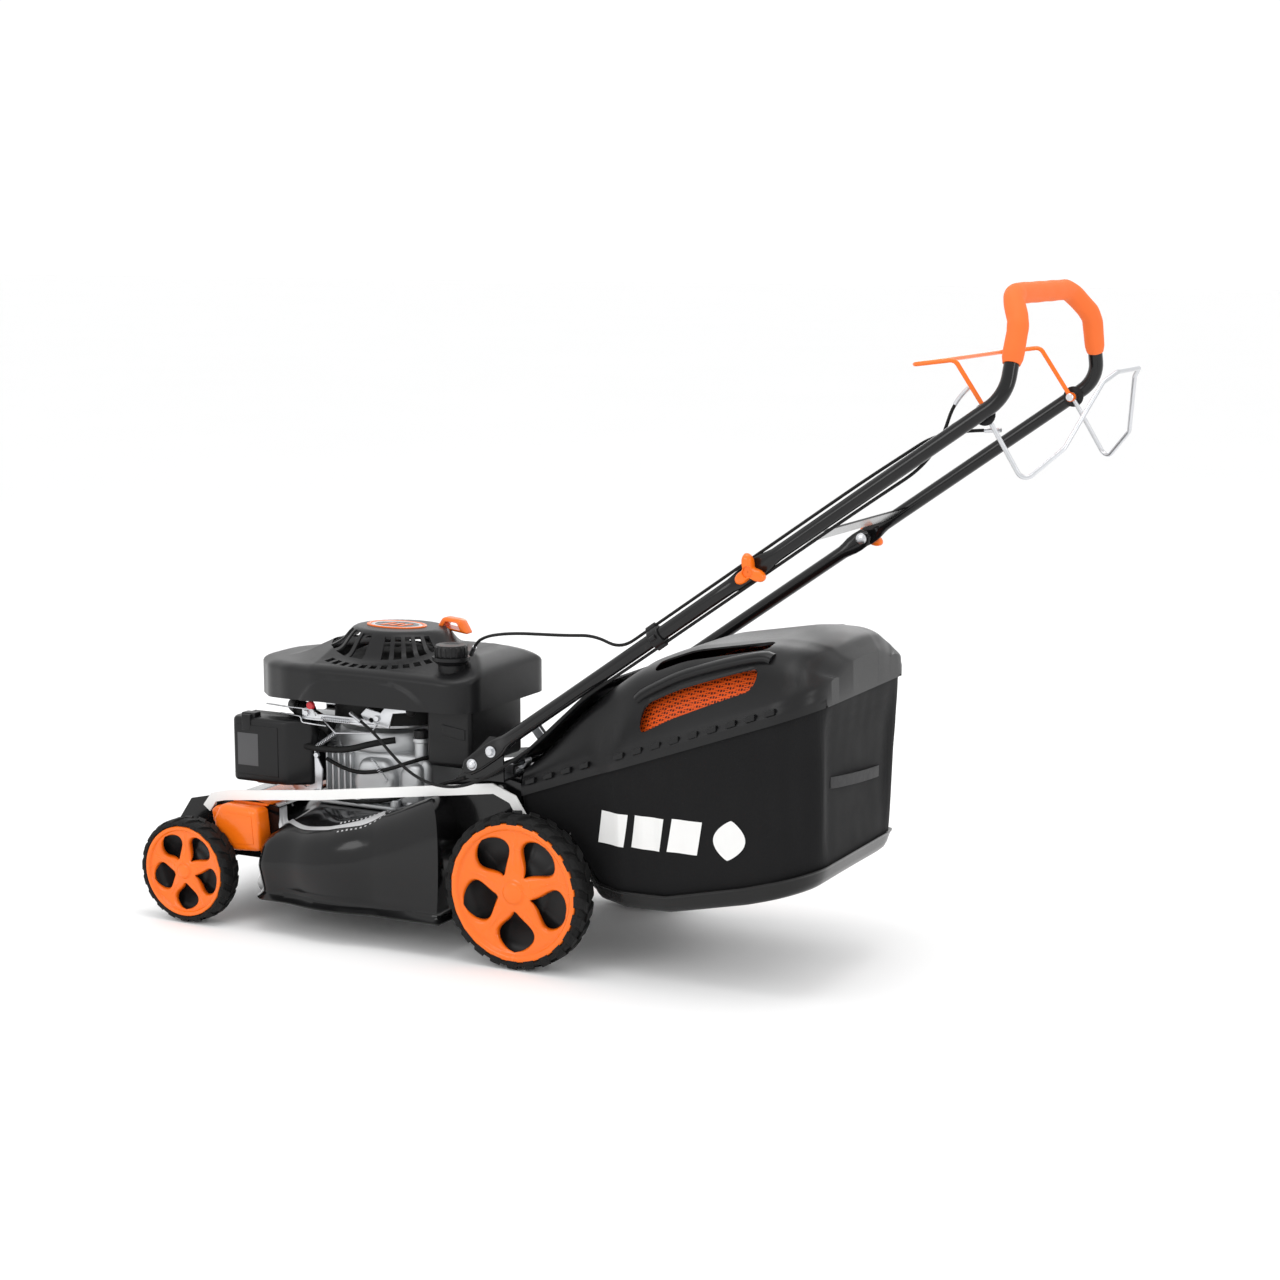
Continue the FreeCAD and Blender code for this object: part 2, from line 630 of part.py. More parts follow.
def engine_cover():
    """Blower cover with its fan drum below, air slots on top and a hole for the filler neck."""
    wall, x = mm("cover_wall"), mm("crank_x")
    shell = cover_block(0).cut(cover_block(wall))
    drum = Part.makeCylinder(112, 155, Vector(x, 0, 337)).cut(Part.makeCylinder(109, 155, Vector(x, 0, 337)))
    drum = drum.common(cover_block(0).fuse(Part.makeBox(900, 600, 97, Vector(0, -300, 290))))
    shell = shell.fuse(drum)
    for index in range(5):
        slot = Part.makeBox(60, 6, 30, Vector(x + 62, -42 + 19 * index, 474))
        shell = shell.cut(slot)
    return shell.cut(Part.makeCylinder(15, 100, Vector(mm("neck_x"), mm("neck_y"), 420)))


node("engine_cover", shaped("cover_shell", engine_cover()))


def badge():
    """Plain oval plate let into the top of the cover."""
    oval = Part.Ellipse(Vector(0, 0, 0), 56, 34).toShape()
    plate = Part.Face(Part.Wire([oval])).extrude(Vector(0, 0, 3))
    plate.translate(Vector(mm("crank_x"), 0, 498.2))
    return plate


node("cover_badge", shaped("badge_plate", badge()))


def starter_handle():
    """D-shaped pull handle parked on the rear of the cover."""
    outer = slab([(234, 486), (296, 494), (282, 514), (250, 511)], -54, -30)
    hole = slab([(246, 493), (284, 498), (276, 508), (253, 506)], -60, -20)
    return outer.cut(hole)


node("starter_handle", shaped("handle_moulding", starter_handle()))
node("flywheel", cut("flywheel_casting",
    fuse("flywheel_blank", [
        cylinder("flywheel_disc", "flywheel_radius", "14", ("crank_x", "0", "case_top + 20")),
        cylinder("flywheel_boss", "24", "40", ("crank_x", "0", "case_top + 20")),
        ring("flywheel_rim", "flywheel_radius", "flywheel_radius - 14", "28",
             ("crank_x", "0", "case_top + 20")),
    ]),
    cylinder("flywheel_bore", "crankshaft_radius", "60", ("crank_x", "0", "case_top"))))


def control_bracket():
    """Plated control bracket with the brake arm and its ball end."""
    plate = Part.makeBox(150, 3, 22, Vector(322, 115, 346))
    ledge = Part.makeBox(60, 22, 3, Vector(352, 115, 344))
    arm = slab([(296, 346), (322, 350), (322, 368), (300, 384), (262, 384), (262, 376), (292, 374)],
               117.5, 122)
    ball = Part.makeSphere(9, Vector(252, 122, 380))
    stem = Part.makeCylinder(4, 16, Vector(256, 120, 380), Vector(1, 0, 0))
    post = Part.makeBox(14, 20, 40, Vector(420, 96.2, 306))
    post = post.fuse(Part.makeBox(14, 3, 60, Vector(420, 113.2, 306)))
    return plate.fuse([ledge, arm, ball, stem, post])


node("control_bracket", shaped("bracket_pressing", control_bracket()))

# ---------------------------------------------------------------- handle
SLOPE = math.radians(mm("handle_slope"))
RISE = Vector(-math.cos(SLOPE), 0, math.sin(SLOPE))
ACROSS = Vector(math.sin(SLOPE), 0, math.cos(SLOPE))
FOLD = Vector(mm("fold_x"), 0, mm("fold_z"))
BOLTS = (-598, -556)


def on_handle(distance, y=0.0, above=0.0):
    """Point at a distance along the handle from the fold bolt; above is square to the tube."""
    point = FOLD + RISE * distance + ACROSS * above
    return Vector(point.x, y, point.z)


def tab(start, end, low, high, holes):
    """Flattened tube end with bolt holes, between two distances along the handle."""
    ends = [on_handle(start), on_handle(end)]
    low, high = sorted((low, high))
    plate = slab(bar_outline([(p.x, p.z) for p in ends], 24), low, high)
    for distance in holes:
        centre = on_handle(distance, low - 1)
        plate = plate.cut(Part.makeCylinder(4.1, high - low + 2, centre, Vector(0, 1, 0)))
    return shaped("tab", plate)


def lower_handle(name, side):
    y = side * mm("handle_y")
    pipe = tube(name + "_tube", [on_handle(-520, y), on_handle(-36, y)], 1, "handle_radius", "handle_wall")
    face = side * 209.0
    lower_tab = tab(-616, -512, face, face + side * mm("tab_thickness"), BOLTS)
    upper_tab = tab(-42, 14, face, face + side * mm("tab_thickness"), (0,))
    return fuse(name + "_parts", [pipe, lower_tab, upper_tab])


node("lower_handles", lower_handle("lower_left", 1), lower_handle("lower_right", -1))


def loop_points(start):
    """Upper part of the handle loop; both legs begin at the given point."""
    side = [Vector(-796, 173, 1037), Vector(-771.4, 132.5, 1076.8)]
    points = start + side
    return points + [Vector(p.x, -p.y, p.z) for p in points[::-1]]


LEG = [on_handle(36, mm("handle_y")), Vector(-794, mm("handle_y"), 937)]
FACE = mm("handle_y") + 0.5
node("upper_handle", fuse("upper_handle_parts", [
    tube("upper_tube", loop_points(LEG), 55, "handle_radius", "handle_wall"),
    tab(-14, 42, FACE, FACE + mm("tab_thickness"), (0,)),
    tab(-14, 42, -FACE, -FACE - mm("tab_thickness"), (0,)),
]))
GRIP_START = [LEG[1] + (Vector(-796, 173, 1037) - LEG[1]) * 0.4]
node("foam_grip", cut("foam_sleeve",
    sweep("foam_outer", loop_points(GRIP_START), 55, "grip_radius"),
    sweep("foam_bore", loop_points(GRIP_START), 55, "handle_radius")))


def cross_brace():
    """Flat brace between the two legs of the upper handle."""
    ends = [on_handle(62), on_handle(96)]
    return slab(bar_outline([(p.x, p.z) for p in ends], 3), -206, 206)


node("cross_brace", shaped("brace_plate", cross_brace()))


def bolts():
    """Bolts through the lower handle ends and the fold, each with a domed or hexagonal head."""
    solids = []
    for side in (-1, 1):
        out = Vector(0, side, 0)
        for distance in BOLTS:
            foot = on_handle(distance, side * 198)
            shank = Part.makeCylinder(4, 22, foot, out)
            nut = Part.makeCylinder(7.5, 6, foot, out)
            head = Part.makeCylinder(8.5, 6, on_handle(distance, side * 216.2), out)
            solids.append(shank.fuse([nut, head]))
        foot = on_handle(0, side * 203)
        shank = Part.makeCylinder(4, 33, foot, out)
        solids.append(shank.fuse(Part.makeCylinder(9, 5.8, foot, out)))
    return Part.Compound(solids)


for bracket in ("bracket_left", "bracket_right"):
    cheek = doc.getObject(bracket)
    holes = [Part.makeCylinder(4.1, 500, on_handle(d, -250), Vector(0, 1, 0)) for d in BOLTS]
    cheek.Shape = cheek.Shape.cut(holes)
node("handle_bolts", shaped("bolt_set", bolts()))


def wing_knob(side):
    """Three-lobed nut on the fold bolt."""
    centre = on_handle(0, side * 225.0)
    knob = Part.makeCylinder(13, 16, Vector(), Vector(0, 1, 0))
    for index in range(3):
        lobe = Part.makeBox(mm("knob_radius"), 9, 13, Vector(0, 2, -6.5))
        lobe.rotate(Vector(), Vector(0, 1, 0), 120 * index + 40)
        knob = knob.fuse(lobe)
    knob = knob.cut(Part.makeCylinder(4.1, 12.5, Vector(0, -1, 0), Vector(0, 1, 0)))
    if side < 0:
        knob.rotate(Vector(), Vector(1, 0, 0), 180)
    knob.translate(centre)
    return knob


node("wing_knob_left", shaped("knob_left", wing_knob(1)))
node("wing_knob_right", shaped("knob_right", wing_knob(-1)))

BAIL = Vector(mm("bail_x"), 0, mm("bail_z"))
BRAKE_Y, DRIVE_Y = 192.0, 200.0


def bail_bracket(side):
    """Pivot plate on the tube with the pin that both bails turn on."""
    out = Vector(0, side, 0)
    plate = Part.makeCylinder(15, 1.8, BAIL + out * 204.2, out)
    pin = Part.makeCylinder(3, 20, BAIL + out * 186, out)
    head = Part.makeCylinder(6, 3, BAIL + out * 184.5, out)
    return plate.fuse([pin, head])


node("bail_brackets", shaped("bail_pivot_left", bail_bracket(1)),
     shaped("bail_pivot_right", bail_bracket(-1)))


def bail(name, half, y):
    """Bent wire bail from the left eye to the right one; half is the left half of its centre line."""
    points = [Vector(p[0], p[1], p[2]) for p in half]
    points += [Vector(p.x, -p.y, p.z) for p in points[::-1]]
    wire = sweep(name + "_wire", points, 11, "bail_radius - 0.5")
    left = ring(name + "_eye_left", "7", "3.1", "6", ("bail_x", str(y - 3), "bail_z"), "y")
    right = ring(name + "_eye_right", "7", "3.1", "6", ("bail_x", str(-y - 3), "bail_z"), "y")
    return fuse(name + "_bent", [wire, left, right])


node("brake_bail", bail("brake_bail", [
    (-757, BRAKE_Y, 914.5), (-709, BRAKE_Y, 985), (-645, BRAKE_Y, 976.5)], BRAKE_Y))
node("drive_bail", bail("drive_bail", [
    (-762.5, DRIVE_Y, 905.8), (-817, DRIVE_Y, 816), (-863, 160, 863), (-892, 80, 952),
    (-905.5, 54, 966)], DRIVE_Y))


# ---------------------------------------------------------------- cables
def below(distance, y=None):
    return on_handle(distance, mm("handle_y") if y is None else y, -(mm("handle_radius") + 3.6))


def above(distance, y=None):
    return on_handle(distance, mm("handle_y") if y is None else y, mm("handle_radius") + 5.2)


BRAKE_ROUTE = [
    (372, 121, 366), (318, 140, 346), (262, 172, 318), (205, 200, 294), (148, 222, 285), (92, 234, 290),
    (40, 239, 312), (-8, 238, 344), (-56, 236, 380), below(-360, 230), below(-305, 221),
    below(-250), below(-195),
    below(-140), below(-85), below(-30), below(25), below(80), below(135), below(190), below(245, 212),
    below(300, 204), on_handle(350, 201.5, 2), on_handle(395, 196, 40), (-728, 184.5, 945)]
DRIVE_ROUTE = [
    (158, 84, 476), (140, 100, 500), (104, 126, 517), (60, 152, 528), (12, 176, 536),
    (-38, 196, 541), (-90, 209, 545),
    (-142, 215, 550), above(-260), above(-205), above(-150), above(-95), above(-40), above(15), above(70),
    above(125), above(180), above(235, 213), above(290, 201), above(338, 190),
    on_handle(388, 186, -6), on_handle(428, 190, -32)]


def cable(name, route):
    """Bowden cable: straight runs joined by arcs as wide as the runs allow."""
    points = [Vector(*p) for p in route]
    for before, corner, after in zip(points, points[1:], points[2:]):
        first, second = corner - before, after - corner
        turn = first.getAngle(second)
        print(name, "radius %.0f mm" % (0.45 * min(first.Length, second.Length) / math.tan(turn / 2 + 1e-6)))
    return sweep(name, points, "wide", "2.5")


node("brake_cable", cable("brake_cable_tube", BRAKE_ROUTE))
node("drive_cable", cable("drive_cable_tube", DRIVE_ROUTE))


def cable_clip():
    """Moulded clip on the left lower tube that holds both cables."""
    start = on_handle(-204, mm("handle_y"))
    body = Part.makeCylinder(20, 18, start, RISE)
    body = body.cut(Part.makeCylinder(mm("handle_radius") + 0.02, 20, start, RISE))
    for point in (below(-206), above(-206)):
        body = body.cut(Part.makeCylinder(2.6, 24, point, RISE))
    return body


node("cable_clip", shaped("clip_moulding", cable_clip()))

# ---------------------------------------------------------------- discharge flap
HINGE = Vector(46, 0, 313)


def flap_rod():
    """Hinge rod on two lugs that stand on the tunnel."""
    rod = Part.makeCylinder(4, 316, HINGE + Vector(0, -158, 0), Vector(0, 1, 0))
    for y in (-158, 152):
        lug = Part.makeBox(16, 6, 13, Vector(38, y, mm("tunnel_top") + 4.2))
        rod = rod.fuse(lug)
    return rod


node("flap_rod", shaped("rod_and_lugs", flap_rod()))


def discharge_flap():
    """Flap that lies on the catcher, with hinge barrels on the rod."""
    barrel = Part.makeCylinder(7, 300, HINGE + Vector(0, -150, 0), Vector(0, 1, 0))
    panel = Part.makeBox(212, 292, 4, Vector(0, -146, 0))
    rib = Part.makeBox(200, 4, 9, Vector(6, -146, 3))
    far_rib = Part.makeBox(200, 4, 9, Vector(6, 142, 3))
    leaf = panel.fuse([rib, far_rib])
    leaf.rotate(Vector(), Vector(0, 1, 0), -137)
    leaf.translate(HINGE)
    flap = leaf.fuse(barrel)
    flap = flap.cut(Part.makeCylinder(4.1, 320, HINGE + Vector(0, -160, 0), Vector(0, 1, 0)))
    return flap.cut(Part.makeCylinder(11, 32, HINGE + Vector(0, 92, 0), Vector(0, 1, 0)))


node("discharge_flap", shaped("flap_moulding", discharge_flap()))


def flap_spring():
    """Torsion spring wound round the rod, with one leg towards the deck."""
    coil = Part.makeCylinder(7, 24, HINGE + Vector(0, 96, 0), Vector(0, 1, 0))
    coil = coil.cut(Part.makeCylinder(4.2, 24, HINGE + Vector(0, 96, 0), Vector(0, 1, 0)))
    leg = Part.makeCylinder(1.2, 26, HINGE + Vector(4, 98, -3.5), Vector(1, 0, -0.1))
    return coil.fuse(leg)


node("flap_spring", shaped("spring_wire", flap_spring()))

# ---------------------------------------------------------------- grass catcher
RIM_SLOPE = (mm("rim_rear_z") - mm("rim_front_z")) / (mm("rim_rear_x") - mm("rim_front_x"))


def rim_z(x):
    return mm("rim_front_z") + (x - mm("rim_front_x")) * RIM_SLOPE


def lid_block(inset):
    """Domed lid: six-cornered sections from the mouth to the rear."""
    low = -1 if inset else 0
    stations = [(20, 160, 118, 322), (-112, 162, 122, 444), (-165, 190, 124, 482), (-255, 198, 128, 516),
                (-400, 206, 140, 540), (-492, 210, 150, 530)]
    sections = []
    for x, half, top_half, top in stations:
        edge = rim_z(x)
        x = min(max(x, -492 + inset), 20 - inset)
        half, top_half, top = half - inset, top_half - inset, top - inset
        shoulder = edge + 22 - inset
        sections.append([Vector(x, -half, edge + low), Vector(x, half, edge + low),
                         Vector(x, half, shoulder), Vector(x, top_half, top),
                         Vector(x, -top_half, top), Vector(x, -half, shoulder)])
    return sections_loft(sections)


def catcher_lid():
    """Hard lid; on each slope a carry bar is left between two hand openings."""
    shell = lid_block(0).cut(lid_block(mm("lid_wall")))
    for inner, outer in ((92, 134), (160, 188)):
        for low, high in ((inner, outer), (-outer, -inner)):
            shell = shell.cut(slab([(-196, 380), (-398, 440), (-398, 620), (-196, 620)], low, high))
    return shell.cut(Part.makeBox(12, 296, 200, Vector(12, -148, 180)))


node("catcher_lid", shaped("lid_moulding", catcher_lid()))


def bag_block(inset, low_cut, high_cut):
    """Bag below the rim, between two shares of its height."""
    stations = [(20, 158, 196), (-62, 160, 190), (-118, 163, 112), (-165, 178, 108), (-250, 186, 112),
                (-385, 190, 143), (-490, 192, 172)]
    sections = []
    for x, half, bottom in stations:
        top = rim_z(x) - 1
        bottom_half = half - 14
        low = bottom + low_cut
        high = bottom + high_cut if high_cut else top + (1 if inset else 0)
        share = (high - bottom) / (top - bottom)
        base = (low - bottom) / (top - bottom)
        x = max(x, -490 + inset)
        low_half = bottom_half + (half - bottom_half) * base - inset
        high_half = bottom_half + (half - bottom_half) * share - inset
        sections.append([Vector(x, -low_half, low), Vector(x, low_half, low), Vector(x, high_half, high),
                         Vector(x, -high_half, high)])
    return sections_loft(sections)


def catcher_fabric():
    """Woven sides and back of the bag, open at the mouth, the top and the bottom."""
    height = mm("tray_height")
    outer = bag_block(0, height, 0)
    inner = bag_block(mm("cloth"), height, 0)
    inner = inner.fuse([inner.translated(Vector(0, 0, -4)), inner.translated(Vector(4, 0, 0))])
    return outer.cut(inner)


node("catcher_fabric", shaped("fabric_walls", catcher_fabric()))


def catcher_tray():
    """Hard tray that closes the bag's bottom."""
    height = mm("tray_height") - 0.4
    outer = bag_block(0, 0, height)
    inner = bag_block(3, 3, height + 3)
    return outer.cut(inner.fuse(inner.translated(Vector(4, 0, 0))))


node("catcher_tray", shaped("tray_moulding", catcher_tray()))
node("catcher_strap", box("strap_web", "3", "150", "16", ("rim_rear_x - 10", "-75", "318")))

# ---------------------------------------------------------------- check and write
doc.recompute()
for obj in doc.Objects:
    if "Invalid" in obj.State or "Error" in obj.State:
        raise RuntimeError("%s did not compute" % obj.Label)
os.makedirs("parts", exist_ok=True)
everything = Part.Compound([piece.Shape for piece in NODES])
faults = []
for piece in NODES:
    shape = piece.Shape
    if shape.isNull() or not shape.isValid() or not shape.Solids:
        faults.append(piece.Label)
        continue
    shape.exportStep("parts/%s.step" % piece.Label)
if faults:
    raise RuntimeError("no valid solid: " + ", ".join(faults))
bounds = everything.BoundBox
print("nodes", len(NODES))
print("x %.1f %.1f  y %.1f %.1f  z %.1f %.1f" % (
    bounds.XMin, bounds.XMax, bounds.YMin, bounds.YMax, bounds.ZMin, bounds.ZMax))
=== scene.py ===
import bpy
import bmesh
import math
from mathutils import Matrix, Vector


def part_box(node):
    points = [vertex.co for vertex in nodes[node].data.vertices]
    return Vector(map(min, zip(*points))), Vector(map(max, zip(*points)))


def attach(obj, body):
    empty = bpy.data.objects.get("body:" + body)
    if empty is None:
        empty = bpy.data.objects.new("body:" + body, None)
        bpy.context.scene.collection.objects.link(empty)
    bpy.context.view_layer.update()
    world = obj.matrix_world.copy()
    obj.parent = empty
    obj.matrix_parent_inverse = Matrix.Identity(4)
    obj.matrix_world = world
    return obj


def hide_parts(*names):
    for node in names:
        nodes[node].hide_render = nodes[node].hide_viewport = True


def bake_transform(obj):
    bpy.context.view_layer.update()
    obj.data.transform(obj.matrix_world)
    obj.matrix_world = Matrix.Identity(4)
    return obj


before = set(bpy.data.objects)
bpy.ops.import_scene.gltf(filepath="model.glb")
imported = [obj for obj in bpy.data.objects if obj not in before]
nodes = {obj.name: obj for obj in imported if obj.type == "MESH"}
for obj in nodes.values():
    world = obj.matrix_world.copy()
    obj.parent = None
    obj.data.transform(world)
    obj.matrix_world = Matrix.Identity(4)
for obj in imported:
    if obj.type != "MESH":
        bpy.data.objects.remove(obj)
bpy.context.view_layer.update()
rim_low, rim_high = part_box("rear_left_rim")
REAR_AXLE = (rim_low.x + rim_high.x) / 2


def at(x, y, z):
    """Point given in millimetres from the rear axle line, on the ground, in the middle of the mower."""
    return Vector((REAR_AXLE + x / 1000, y / 1000, z / 1000))


# ---- Studio ----
# A pale floor under the mower and soft lamps round it. The camera stands behind the operator's
# left shoulder, a little above the engine, and looks forward across the machine.
def mesh_object(name, verts, faces, smooth=True):
    mesh = bpy.data.meshes.new(name)
    mesh.from_pydata([tuple(v) for v in verts], [], faces)
    mesh.validate()
    mesh.polygons.foreach_set("use_smooth", [smooth] * len(mesh.polygons))
    obj = bpy.data.objects.new(name, mesh)
    bpy.context.scene.collection.objects.link(obj)
    return obj


def add_node(tree, kind, **values):
    """Adds a shader node and sets its sockets; an underscore stands for the space in a socket's name."""
    node = tree.nodes.new("ShaderNode" + kind)
    for socket, value in values.items():
        node.inputs[socket.replace("_", " ")].default_value = value
    return node


def finish(name, colour, rough, metal=0.0, grain=420.0, bump=0.12, vary=0.18, coat=0.0, patch=9.0, shine=0.5):
    """Material with patchy colour, uneven gloss and a fine grain in its surface."""
    mat = bpy.data.materials.new(name)
    mat.use_nodes = True
    tree = mat.node_tree
    shader = tree.nodes["Principled BSDF"]
    for socket, value in (("Metallic", metal), ("Coat Weight", coat), ("Specular IOR Level", shine), ("Coat Roughness", 0.06)):
        shader.inputs[socket].default_value = value
    place = add_node(tree, "TexCoord")
    patches = add_node(tree, "TexNoise", Scale=patch, Detail=5)
    fine = add_node(tree, "TexNoise", Scale=grain, Detail=3)
    ramp = add_node(tree, "Mix")
    ramp.data_type = "RGBA"
    ramp.inputs[6].default_value = [c * (1 - vary) for c in colour] + [1]
    ramp.inputs[7].default_value = [min(c * (1 + vary) + vary * 0.004, 1) for c in colour] + [1]
    gloss = add_node(tree, "MapRange", To_Min=rough * 0.78, To_Max=min(rough * 1.28, 1))
    relief = add_node(tree, "Bump", Strength=bump, Distance=0.0006)
    link = tree.links.new
    link(place.outputs["Object"], patches.inputs["Vector"])
    link(place.outputs["Object"], fine.inputs["Vector"])
    link(patches.outputs["Fac"], ramp.inputs[0])
    link(ramp.outputs[2], shader.inputs["Base Color"])
    link(patches.outputs["Fac"], gloss.inputs["Value"])
    link(gloss.outputs["Result"], shader.inputs["Roughness"])
    link(fine.outputs["Fac"], relief.inputs["Height"])
    link(relief.outputs["Normal"], shader.inputs["Normal"])
    return mat


FLOOR = 40
floor = mesh_object("floor", [(-FLOOR, -FLOOR, 0), (FLOOR, -FLOOR, 0), (FLOOR, FLOOR, 0), (-FLOOR, FLOOR, 0)], [(0, 1, 2, 3)])
floor.data.materials.append(finish("pale_floor", (0.95, 0.95, 0.95), 0.7, bump=0.02, vary=0.01, patch=0.8, shine=0.2))

world = bpy.data.worlds.new("studio")
bpy.context.scene.world = world
world.use_nodes = True
world.node_tree.nodes["Background"].inputs[0].default_value = (1.0, 1.0, 1.0, 1)
world.node_tree.nodes["Background"].inputs[1].default_value = 1.05


def lamp(name, place, aim, size, power):
    data = bpy.data.lights.new(name, "AREA")
    data.shape = "RECTANGLE"
    data.size, data.size_y = size
    data.energy = power
    obj = bpy.data.objects.new(name, data)
    bpy.context.scene.collection.objects.link(obj)
    obj.location = place
    obj.rotation_euler = (Vector(aim) - Vector(place)).to_track_quat("-Z", "Y").to_euler()


lamp("top_softbox", (-0.2, 0.3, 3.2), (0, 0, 0.4), (2.2, 1.2), 27)
lamp("left_softbox", (1.2, 3.2, 1.7), (0.1, 0, 0.4), (1.6, 1.2), 20)
lamp("rear_strip", (-3.2, 0.8, 1.6), (-0.4, 0, 0.5), (0.6, 1.8), 15)
lamp("right_fill", (0.8, -3.2, 1.8), (0, 0, 0.4), (1.8, 1.2), 12)

camera_data = bpy.data.cameras.new("camera")
camera_data.lens = 70.97
camera_data.sensor_width = 36
camera = bpy.data.objects.new("camera", camera_data)
bpy.context.scene.collection.objects.link(camera)
camera.location = at(-1944.7, 3593.7, 1180.4)
TURN, DIP = 0.472, 0.165
heading = Vector((math.sin(TURN) * math.cos(DIP), -math.cos(TURN) * math.cos(DIP), -math.sin(DIP)))
camera.rotation_euler = heading.to_track_quat("-Z", "Y").to_euler()
bpy.context.scene.camera = camera
bpy.context.scene.view_settings.view_transform = "Standard"


# ---- Wheel rims ----
# Each rim is moulded in one piece from glossy orange plastic: a hub cap, five spokes that flare
# out into the lip with a raised line along each, and shield-shaped windows between them.
orange = finish("orange_plastic", (0.84, 0.150, 0.004), 0.26, bump=0.05, vary=0.05, coat=0.3, shine=0.3)
black_plastic = finish("black_plastic", (0.009, 0.009, 0.0095), 0.38, grain=900, bump=0.25, vary=0.2, shine=0.25)


def shell(obj, thickness, bevel=0.0, offset=-1.0):
    """Gives a sheet its wall thickness, then rounds its edges."""
    if thickness:
        wall = obj.modifiers.new("wall", "SOLIDIFY")
        wall.thickness = thickness
        wall.offset = offset
    if bevel:
        edge = obj.modifiers.new("edge", "BEVEL")
        edge.width = bevel
        edge.segments = 2
        edge.limit_method = "ANGLE"
        edge.angle_limit = math.radians(35)
    return obj


def settle(obj):
    """Applies every modifier, so that the piece is a plain mesh."""
    bpy.context.view_layer.update()
    evaluated = obj.evaluated_get(bpy.context.evaluated_depsgraph_get())
    mesh = bpy.data.meshes.new_from_object(evaluated)
    obj.modifiers.clear()
    obj.data = mesh
    return obj


def weld(obj, distance=0.00002, outward=True):
    """Merges doubled points and turns the faces outwards."""
    bm = bmesh.new()
    bm.from_mesh(obj.data)
    bmesh.ops.remove_doubles(bm, verts=bm.verts, dist=distance)
    if outward:
        bmesh.ops.recalc_face_normals(bm, faces=bm.faces)
    bm.to_mesh(obj.data)
    bm.free()
    return obj


def join(name, pieces, material=None):
    """One object from several meshes; those without a material of their own take the one given."""
    for piece in pieces:
        if material and not piece.data.materials:
            piece.data.materials.append(material)
        settle(piece)
    bpy.ops.object.select_all(action="DESELECT")
    for piece in pieces:
        piece.select_set(True)
    bpy.context.view_layer.objects.active = pieces[0]
    if len(pieces) > 1:
        bpy.ops.object.join()
    pieces[0].name = name
    return pieces[0]


def done(obj, body, slot, *replaced):
    """Seats a finished piece on its body and hides the parts it stands for."""
    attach(obj, body)
    if replaced:
        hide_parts(*replaced)
    return obj


def rim_mesh(name, radius, width):
    """Rim about the Y axis with its outer face at y = 0."""
    steps, sector = 14, math.radians(36)
    rings = []
    for share, height in ((0.0, -0.001), (0.06, -0.001), (0.13, -0.0016), (0.155, -0.003), (0.17, -0.0052), (0.21, -0.0062)):
        rings.append((share * radius, height, 0.0, 0.0))
    for index in range(31):
        v = index / 30
        window = math.radians(25.5) * math.sin(math.pi * v ** 1.35) ** 0.72 if 0 < v < 1 else 0.0
        share = 0.27 + 0.60 * v
        rings.append((share * radius, -0.0062 - 0.0035 * math.sin(math.pi * v), window, math.sin(math.pi * v) ** 0.5))
    for share, height in ((0.885, -0.0065), (0.90, -0.0045), (0.92, -0.0012), (0.945, -0.0004), (0.98, -0.0004), (0.995, -0.0014),
                          (0.999, -0.006), (0.999, -0.6 * width), (0.99, -width + 0.009)):
        rings.append((share * radius, height, 0.0, 0.0))
    verts, faces = [], []
    for r, height, window, ridge in rings:
        for spoke in range(5):
            for step in range(steps + 1):
                u = step / steps * 2 - 1
                angle = math.radians(90) + 2 * sector * spoke + u * (sector - window)
                rolled = 0.009 * max(abs(u) - 0.62, 0) ** 2 / 0.144 * ridge
                line = 0.0016 * math.exp(-(u / 0.11) ** 2) * ridge
                verts.append((r * math.cos(angle), height - rolled + line, r * math.sin(angle)))
    per_ring = 5 * (steps + 1)
    for ring in range(len(rings) - 1):
        for spoke in range(5):
            for step in range(steps):
                a = ring * per_ring + spoke * (steps + 1) + step
                faces.append((a, a + 1, a + 1 + per_ring, a + per_ring))
    obj = weld(mesh_object(name, verts, faces), 0.00001)
    if sum(f.normal.y for f in obj.data.polygons[:40]) < 0:
        obj.data.flip_normals()
    return shell(obj, 0.0026)


def backing_mesh(name, radius, depth):
    """Dark dished disc with ribs behind the windows."""
    verts, faces, count = [], [], 120
    profile = [(0.10, -0.004), (0.20, 0.0), (0.45, -0.003), (0.46, -0.006), (0.80, -0.008), (0.97, -0.002), (0.975, 0.004)]
    for share, height in profile:
        for index in range(count):
            angle = 2 * math.pi * index / count
            rib = 0.0016 if index % 12 == 0 and 0.4 < share < 0.9 else 0.0
            verts.append((share * radius * math.cos(angle), -depth + height + rib, share * radius * math.sin(angle)))
    for ring in range(len(profile) - 1):
        for index in range(count):
            a, b = ring * count + index, ring * count + (index + 1) % count
            faces.append((a, b, b + count, a + count))
    return shell(weld(mesh_object(name, verts, faces)), 0.002)


